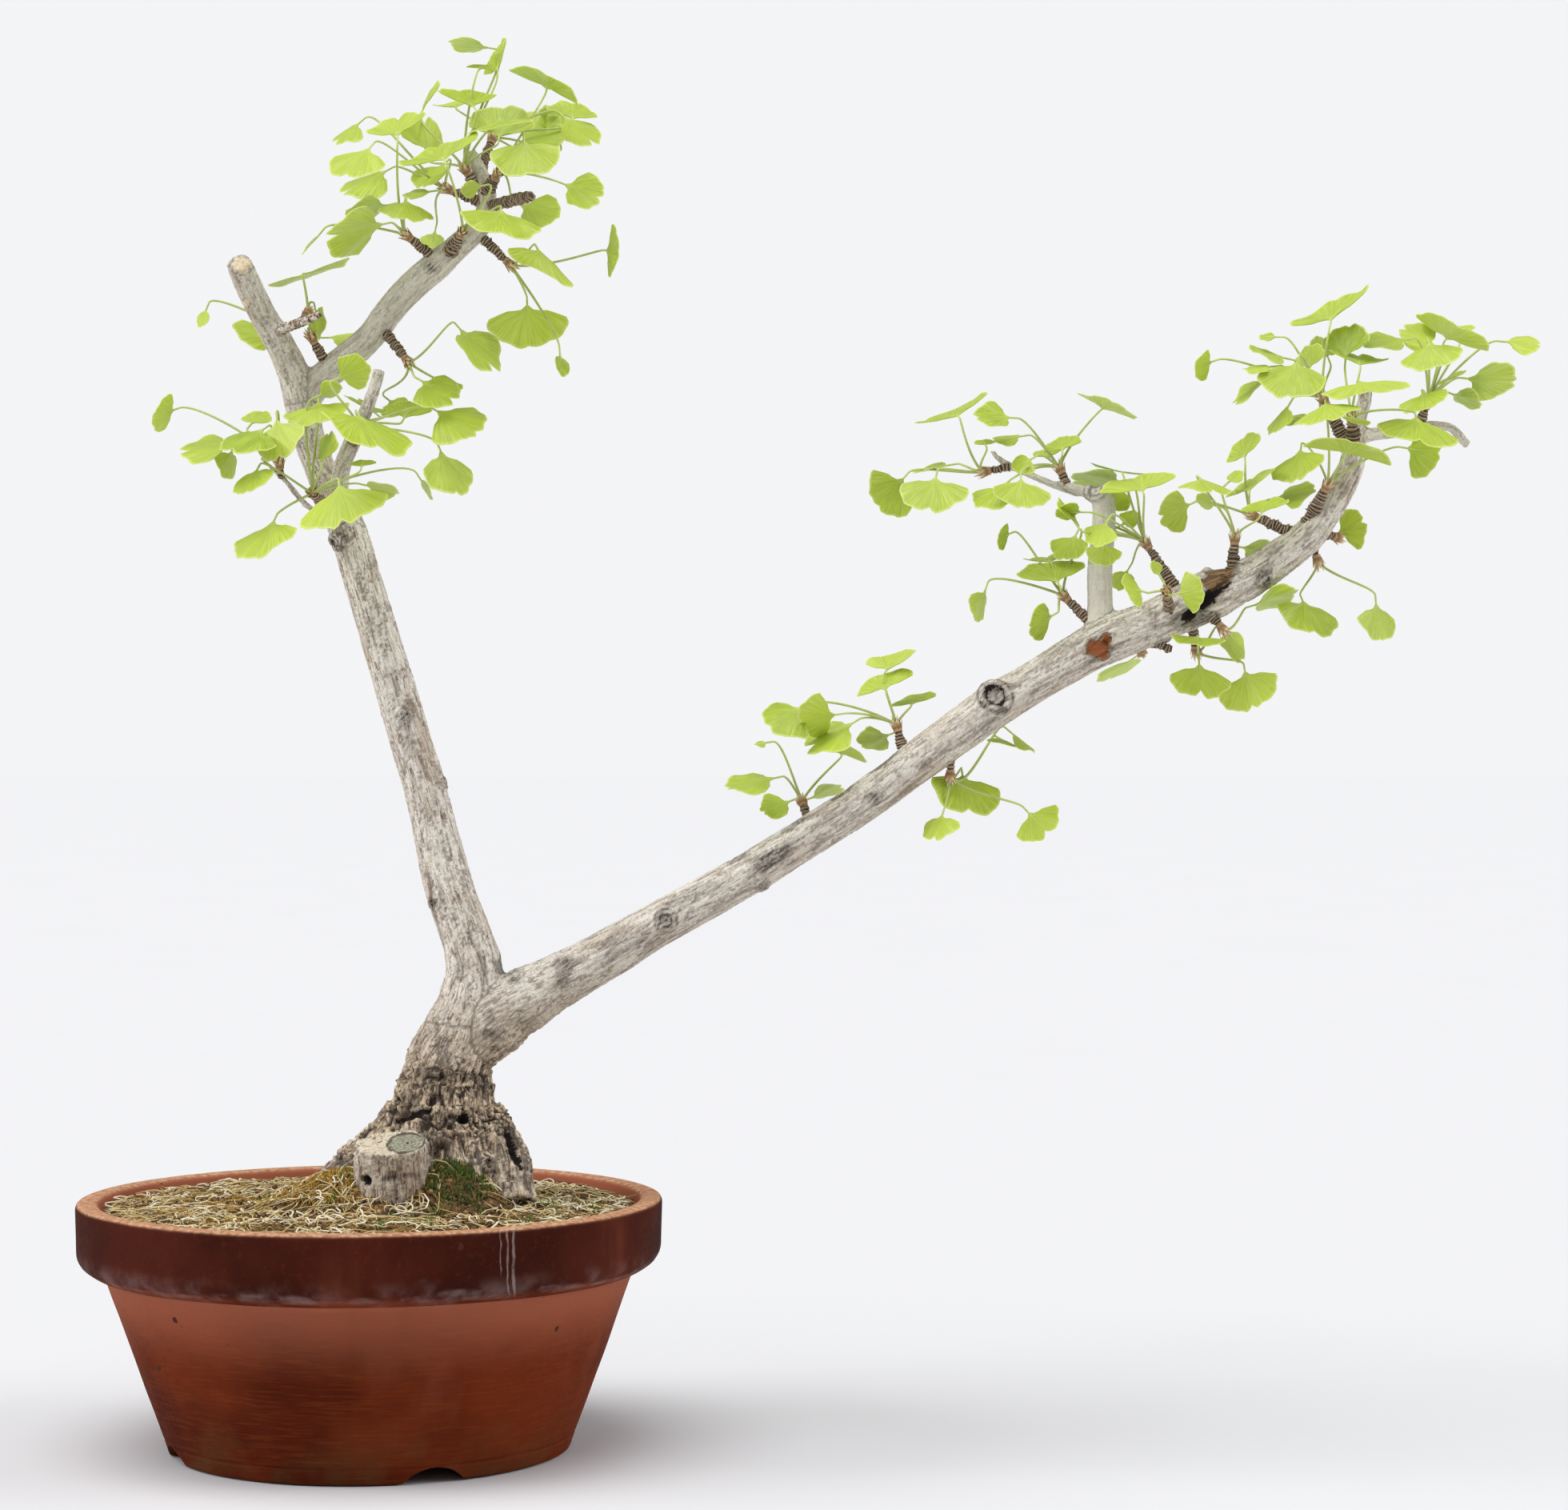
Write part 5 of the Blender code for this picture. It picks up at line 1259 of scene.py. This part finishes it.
def apply_feature(points, normals, moved, marks, kind, across, down, shape):
    """Move and mark the points of one feature. Only a cut goes round to the limb's back."""
    centre = points[front_spot(points, across, down)]
    scale = (centre[1] - EYE.y) / VIEW_FOCAL
    wide, tall = shape[0] * scale, shape[1] * scale
    turn, strength = math.radians(shape[2]), shape[3]
    larger = max(wide, tall)
    depth_share = 0.35 if kind == "cut" else 0.6
    reach = FEATURE_REACH[kind] * larger * 1.6
    for index in np.where(np.linalg.norm(points - centre, axis=1) < reach)[0]:
        if kind != "cut" and normals[index][1] > 0.35:
            continue
        out = points[index] - centre
        along = out[0] * math.cos(turn) + out[2] * math.sin(turn)
        across_it = out[2] * math.cos(turn) - out[0] * math.sin(turn)
        away = math.sqrt((along / wide) ** 2 + (across_it / tall) ** 2
                         + (depth_share * out[1] / larger) ** 2)
        if away > FEATURE_REACH[kind]:
            continue
        jitter = 0.30 * noise.noise(Vector(points[index] * 260.0))
        jitter += 0.18 * noise.noise(Vector(points[index] * 700.0))
        moved[index] += normals[index] * feature_shift(kind, away, min(wide, tall), strength)
        marks[index] = np.maximum(marks[index], feature_marks(kind, away, strength, jitter))


def stump_shape(points, normals):
    """For each point: its share of the stump's sawn face, how far it is from the heart and
    across, how near it is to the stump's side, and how far the ribs there draw it in."""
    last = LIMBS["stump"][-1]
    radius = seen_size(STUMP_FACE, last[2])
    out = points - np.array(seen(*last[:3]))
    away = np.hypot(out[:, 0], out[:, 1]) / radius
    level = np.clip((normals[:, 2] - 0.72) / 0.14, 0.0, 1.0)
    face = level * (away < 1.08) * (np.abs(out[:, 2]) < 0.012)
    side = out[:, 0] / radius
    middle, wide, deep = STUMP_HEART
    heart = np.hypot((side - middle) / wide, out[:, 1] / radius / deep)
    nearness = np.clip((1.22 - away) / 0.16, 0.0, 1.0) * (out[:, 2] < 0.006)
    ribs = np.zeros(len(points))
    for index in np.where((away < 1.3) & (out[:, 2] <= -0.0015))[0]:
        x, y, z = out[index]
        waver = 1.5 * noise.noise(Vector((x * 60.0, y * 60.0, z * 40.0)))
        rib = abs(math.sin(math.atan2(y, x) * STUMP_RIBS / 2 + waver))
        ribs[index] = -RIB_DEPTH * (1.0 - rib) ** 2 * smooth(-z / 0.006)
    return face, heart, side, nearness, ribs


def fused_limbs(limbs):
    """All the limbs as tubes, melted into one skin by a voxel remesh, and softened at the joins."""
    skin = Skin()
    for line, widths, _, _ in limbs.values():
        skin.add(*tube_points(line, widths, LIMB_SIDES))
    wood = skin.piece("wood_skin", [])
    melt = wood.modifiers.new("melt", "REMESH")
    melt.mode = "VOXEL"
    melt.voxel_size = VOXEL
    soften = wood.modifiers.new("soften", "SMOOTH")
    soften.iterations = 3
    soften.factor = 0.5
    take_modifiers(wood)
    return wood


def build_wood():
    """The limbs in one skin, with the bark's relief, and the values that its material reads."""
    limbs = limb_frames()
    wood = fused_limbs(limbs)
    mesh = wood.data
    points, normals = points_of(mesh), normals_of(mesh)
    near = nearest_limbs(points, limbs)
    face, heart, side, on_stump, ribs = stump_shape(points, normals)
    rough = np.array([base_roughness(height) for height in points[:, 2]]) * (1.0 - 0.6 * on_stump)
    relief = np.array([blended_relief(*rows) for rows in zip(*near, rough)])
    moved, marks = apply_features(points, normals)
    dark, cut, wound = marks.T
    heights = (relief[:, 0] + ribs) * (1.0 - 0.9 * cut) * (1.0 - 0.75 * face)
    moved += normals * heights[:, None]
    mesh.vertices.foreach_set("co", moved.astype(np.float32).ravel())
    # The under value, how far a point faces down, makes the bark browner on undersides as painted shade.
    values = {"grain": near[0][:, 1:4], "rough": rough * (1.0 - 0.6 * cut), "dark": dark, "cut": cut,
              "wound": wound, "under": np.clip(-normals[:, 2], 0.0, 1.0),
              "crack": relief[:, 1] * (1.0 - cut) * (1.0 - face), "even": relief[:, 2],
              "weathered": face, "face_out": heart, "face_side": side}
    for name, rows in values.items():
        set_value(mesh, name, rows)
    finish_skin(wood, bark_material())
    mesh.update()
    ride_for(wood, "bark", "wood")


def build_spurs():
    """Short ringed side shoots, each ring the scar of one year's bud."""
    rng = random.Random("spurs")
    skin = Skin("ring")
    for marks in list(SPURS.values()) + [LIMBS["bare_spur"]]:
        add_spur(skin, marks, rng.uniform(0, 9))
    ride_for(skin.piece("spurs_ringed", [spur_material()]), "bark")


def add_spur(skin, marks, wobble):
    """One spur: a tube that swells at each ring, narrows to its tip and is rough all over."""
    line, widths = smooth_limb(marks, SPUR_SPACING)
    length = sum((second - first).length for first, second in zip(line, line[1:]))
    rings = max(3, round(length / SPUR_RING_WIDTH))
    radii, values = [], []
    for index, width in enumerate(widths):
        share = index / (len(widths) - 1)
        bent = share * rings + 0.35 * noise.noise(Vector((share * rings * 0.9, wobble, 0.0)))
        wave = (0.5 + 0.5 * math.cos(bent * math.tau)) ** 0.6
        swell = 1.0 + 0.16 * noise.noise(Vector((share * 5.0, wobble, 2.0)))
        taper = 0.98 - 0.22 * smooth((share - 0.80) / 0.20)
        radii.append(width * taper * swell * (0.78 + 0.22 * wave))
        values.append(wave)
        line[index] = line[index] + Vector((0, 0, 0.00025 * math.sin(index * 0.5 + wobble)))
    points, faces = tube_points(line, radii, SPUR_SIDES)
    for index, point in enumerate(points):
        middle = line[min(index // SPUR_SIDES, len(line) - 1)]
        points[index] = point + (point - middle) * (0.34 * noise.noise(point * 620.0))
    rows = [wave for wave in values for _ in range(SPUR_SIDES)] + [0.3, 0.3]
    skin.add(points, faces, ring=rows)


# Leaves


def leaf_frame(row, bud_depth):
    """Base, axis and half-width vectors of a blade, from how its marks look on the front view.

    A blade is a fan whose length is a fixed share of its half width. Its axis and its half
    width are at right angles, so their parts along the depth follow from the marks.
    """
    base_x, base_z, margin_x, margin_z, half_x, half_z, depth, lean = row
    base_depth = bud_depth + depth
    base = seen(base_x, base_z, base_depth)
    axis = seen(margin_x, margin_z, base_depth) - base
    half = seen(base_x + half_x, base_z + half_z, base_depth) - base
    crossed = axis.dot(half)
    excess = axis.length_squared - BLADE_LENGTH_RATIO ** 2 * half.length_squared
    root = math.sqrt(excess ** 2 + (2 * BLADE_LENGTH_RATIO * crossed) ** 2)
    axis_depth = math.sqrt(max((root - excess) / 2, 0.0))
    half_depth = math.sqrt(max((root + excess) / 2, 0.0)) / BLADE_LENGTH_RATIO
    turn = -1.0 if crossed > 0 else 1.0
    axis.y = lean * axis_depth
    half.y = lean * turn * half_depth
    return base, axis, half


def wave_knots(half_width):
    """(angle from the axis, wave) of the margin's bends, from the axis out to the corner."""
    steps = 3 if half_width > LARGE_BLADE else 2 if half_width > SMALL_BLADE else 1
    knots = [(0.0, -0.6)]
    for step in range(1, steps + 1):
        turn = step / steps * math.pi / 2
        crest = BLADE_CREST if step == 1 else 0.0
        rise = BLADE_CORNER_HEIGHT + (1 - BLADE_CORNER_HEIGHT) * math.cos(turn) ** 0.8 + crest
        knots.append((math.atan2(math.sin(turn), rise * BLADE_LENGTH_RATIO), (-1.0) ** step))
    return knots


def wave_at(knots, angle):
    """The wave at an angle from the axis, eased between the bends."""
    angle = abs(angle)
    for (low, first), (high, second) in zip(knots, knots[1:]):
        if angle <= high:
            share = smooth((angle - low) / (high - low))
            return first * (1 - share) + second * share
    return knots[-1][1]


def fan_rows(rng, length, half_length, wave, cup):
    """Rows of (across, along, off the plane, turn, out) for a fan blade, in metres."""
    knots = wave_knots(half_length)
    spread = math.radians(rng.uniform(60, 74))
    corner = half_length / (math.sin(spread) * length)
    notch = rng.choice((0.05, 0.08, 0.12, 0.20)) if half_length > SMALL_BLADE else 0.04
    scallops = rng.uniform(7, 11)
    phase = rng.uniform(0, math.tau)
    ripple_count = rng.uniform(5, 8)
    rows = []
    for row in range(FAN_ROWS):
        out = 0.03 + 0.97 * (row / (FAN_ROWS - 1)) ** 0.85
        cells = []
        for column in range(FAN_COLUMNS):
            turn = 2 * column / (FAN_COLUMNS - 1) - 1
            angle = turn * spread * (0.45 + 0.55 * smooth(out / 0.55))
            edge = 1.02 + (corner - 1.02) * abs(turn) ** 2.2 - 0.07 * smooth((abs(turn) - 0.90) / 0.10)
            edge += 0.022 * math.sin(turn * scallops + phase)
            edge += 0.014 * math.sin(turn * scallops * 2.3 + phase * 2)
            edge += 0.012 * noise.noise(Vector((turn * 14.0, phase, 0.0)))
            edge -= notch * math.exp(-(turn / 0.075) ** 2) * smooth((out - 0.3) / 0.7)
            reach = length * edge * 1.02 * out
            across, along = math.sin(angle) * reach, math.cos(angle) * reach
            wide = across / half_length
            off = wave * wave_at(knots, angle) * out + cup * wide * wide
            off += 0.020 * half_length * math.sin(angle * ripple_count + phase) * out ** 3
            cells.append((across, along, off, turn, out))
        rows.append(cells)
    return rows


def add_blade(skin, rng, base, axis, half, wave, cup, seed, tone):
    """A fan blade: an upper and a lower face from the same rows, joined round the margin."""
    side = half.normalized()
    ahead = axis.normalized()
    normal = side.cross(ahead).normalized()
    rows = fan_rows(rng, axis.length, half.length, wave, cup)
    columns = FAN_COLUMNS
    points, fan = [], []
    for layer in (0.5, -0.5):
        for cells in rows:
            for across, along, off, turn, out in cells:
                thick = BLADE_THICKNESS * (1.25 - 0.7 * out)
                points.append(base + side * across + ahead * along + normal * (off + layer * thick))
                fan.append((turn, out, seed))
    count = FAN_ROWS * columns
    upper = grid_faces(FAN_ROWS, columns)
    faces = upper + [tuple(corner + count for corner in face[::-1]) for face in upper]
    rim = [row * columns for row in range(FAN_ROWS)]
    rim += [(FAN_ROWS - 1) * columns + column for column in range(1, columns)]
    rim += [row * columns + columns - 1 for row in range(FAN_ROWS - 2, -1, -1)]
    rim += [column for column in range(columns - 2, 0, -1)]
    for first, second in zip(rim, rim[1:] + rim[:1]):
        faces.append((first, first + count, second + count, second))
    skin.add(points, faces, fan=fan, tone=tone)


def petiole_curve(bud, along_spur, base, axis, normal):
    """A stalk's line: it leaves the bud with the spur and runs straight into the blade."""
    ahead = axis.normalized()
    lead = base - ahead * PETIOLE_LEAD
    reach = lead - bud
    toward = reach.normalized()
    span_length = reach.length * 0.36
    leave = (along_spur * (0.5 + 1.5 * max(0.0, -toward.dot(along_spur))) + toward).normalized()
    bow = normal * math.copysign(max(0.0, -toward.dot(ahead)), normal.dot(bud - base))
    handle_a = bud + leave * span_length
    handle_b = lead + (bow * 0.55 - ahead * 0.40) * span_length
    line = []
    for step in range(PETIOLE_STEPS + 1):
        t = step / PETIOLE_STEPS
        line.append(bud * (1 - t) ** 3 + handle_a * 3 * t * (1 - t) ** 2
                    + handle_b * 3 * t * t * (1 - t) + lead * t ** 3)
    return line + [base, base + ahead * 0.0030, base + ahead * 0.0065]


def add_leaf(skin, row, spur, rng, look, seed):
    """A blade and its stalk, from a row of marks."""
    place, along_spur = bud_place(spur)
    base, axis, half = leaf_frame(row, spur[-1][2])
    normal = half.cross(axis).normalized()
    wave = BLADE_WAVE * half.length * rng.choice((-1.0, 1.0))
    cup = rng.uniform(-0.10, 0.16) * half.length
    tone = min(1.0, max(0.0, look.gauss(0.5, 0.22)))
    add_blade(skin, look, base, axis, half, wave, cup, seed, tone)
    line = petiole_curve(place, along_spur, base, axis, normal)
    radii = [PETIOLE_RADIUS * (1.0 - 0.25 * min(1.0, index / (len(line) - 4)))
             for index in range(len(line))]
    for index, share in ((0, 1.6), (-2, 0.62), (-1, 0.25)):
        radii[index] = PETIOLE_RADIUS * share
    points, faces = tube_points(line, radii, PETIOLE_SIDES, 0.85)
    tones = [index / (len(line) - 1) for index in range(len(line)) for _ in range(PETIOLE_SIDES)]
    tones += [0.0, 1.0]
    skin.add(points, faces, 1, fan=[(0.0, 0.0, seed)] * len(points), tone=tones)


def bud_place(spur):
    """Centre of the bud on a spur, just clear of its tip, and the spur's direction there."""
    tip = seen(*spur[-1][:3])
    along = (tip - seen(*spur[-2][:3])).normalized()
    return tip + along * (BUD_RADIUS + GAP), along


def add_bud(skin, look, place, along):
    """Bud scales in three rings round a small core."""
    right = along.orthogonal().normalized()
    up = along.cross(right)
    core = [place + along * BUD_RADIUS * share for share in (-1.1, -0.3, 0.6)]
    points, faces = tube_points(core, [BUD_RADIUS * share for share in (0.62, 0.60, 0.30)], 12)
    skin.add(points, faces, 2, fan=[(0.0, 0.0, 0.0)] * len(points), tone=0.35)
    for level, count in enumerate(BUD_RINGS):
        for index in range(count):
            turn = (index + 0.5 * level) / count * math.tau + look.uniform(-0.15, 0.15)
            open_out = look.uniform(0.75, 1.25) * (1.0 - 0.22 * level)
            points, tones = [], []
            for step, width in enumerate(BUD_SCALE_WIDTHS):
                t = step / (len(BUD_SCALE_WIDTHS) - 1)
                out = BUD_RADIUS * (0.60 + 0.42 * t * open_out - 0.10 * level)
                rise = BUD_RADIUS * (-0.85 + 0.42 * level + 1.35 * t)
                for side in (-1, 0, 1):
                    angle = turn + side * (width * (1.0 - 0.12 * level))
                    toward = right * math.cos(angle) + up * math.sin(angle)
                    points.append(place + along * rise + toward * out * (1.0 - 0.10 * abs(side)))
                    tones.append(min(1.0, 0.25 * level + 0.75 * t))
            faces = grid_faces(len(BUD_SCALE_WIDTHS), 3)
            skin.add(points, faces, 2, fan=[(0.0, 0.0, 0.0)] * len(points), tone=tones)


def build_sprays():
    """For each spur: its bud, and the leaves of its tuft."""
    materials = [leaf_material(), stalk_material(), bud_material()]
    for number, (name, rows) in enumerate(TUFTS.items()):
        rng = random.Random("tuft " + name)
        look = random.Random("look " + name)
        skin = Skin("fan", "tone")
        place, along = bud_place(SPURS[name])
        add_bud(skin, look, place, along)
        for index, row in enumerate(rows):
            add_leaf(skin, row, SPURS[name], rng, look, number * 1.37 + index * 0.31)
        spray = skin.piece("spray_" + name, materials, sharp=BLADE_SHARP_ANGLE)
        ride_for(spray, "leaf", "leaves_" + name)


# Stage, lights and camera


def build_stage():
    """A wide pale floor, and a pale world that lights the part less than it shows."""
    bpy.ops.mesh.primitive_circle_add(vertices=96, radius=FLOOR_REACH, fill_type="NGON",
                                      location=(0, 0, -FLOOR_DROP))
    floor = bpy.context.object
    floor.name = "floor"
    floor.data.materials.append(floor_material())
    world = bpy.data.worlds.new("studio")
    bpy.context.scene.world = world
    world.use_nodes = True
    tree = world.node_tree
    lit = tree.nodes["Background"]
    lit.inputs["Color"].default_value = (0.96, 0.97, 1.0, 1.0)
    lit.inputs["Strength"].default_value = WORLD_STRENGTH
    plain = put(tree, "Background", {"Color": (0.905, 0.908, 0.92, 1.0), "Strength": 1.0})
    shown = put(tree, "LightPath").outputs["Is Camera Ray"]
    both = put(tree, "MixShader", {0: shown, 1: lit.outputs[0], 2: plain.outputs[0]})
    tree.links.new(both.outputs[0], tree.nodes["World Output"].inputs["Surface"])


def add_sun(name, side_angle, height_angle, strength, softness):
    """A soft light from far off, from an angle round the object and a height above the floor."""
    sun = bpy.data.lights.new(name, "SUN")
    sun.energy = strength
    sun.angle = math.radians(softness)
    thing = bpy.data.objects.new(name, sun)
    around, up = math.radians(side_angle), math.radians(height_angle)
    toward = Vector((math.sin(around) * math.cos(up), -math.cos(around) * math.cos(up), math.sin(up)))
    thing.rotation_euler = toward.to_track_quat("Z", "Y").to_euler()
    bpy.context.scene.collection.objects.link(thing)


def build_camera():
    """A level camera at the eye, with the front view's field."""
    lens = bpy.data.cameras.new("front")
    lens.sensor_fit = "HORIZONTAL"
    lens.sensor_width = SENSOR_WIDTH
    lens.lens = VIEW_FOCAL / VIEW_WIDTH * SENSOR_WIDTH
    lens.clip_end = 200.0
    camera = bpy.data.objects.new("front", lens)
    camera.location = EYE
    camera.rotation_euler = (math.pi / 2, 0.0, 0.0)
    bpy.context.scene.collection.objects.link(camera)
    bpy.context.scene.camera = camera
    bpy.context.scene.view_settings.view_transform = "Standard"


def corners(box):
    return [[float(number) for number in corner] for corner in box]


build_camera()
build_stage()
for light in LIGHTS:
    add_sun(*light)
build_pot()
build_soil()
build_litter()
build_moss()
build_wood()
build_spurs()
build_sprays()
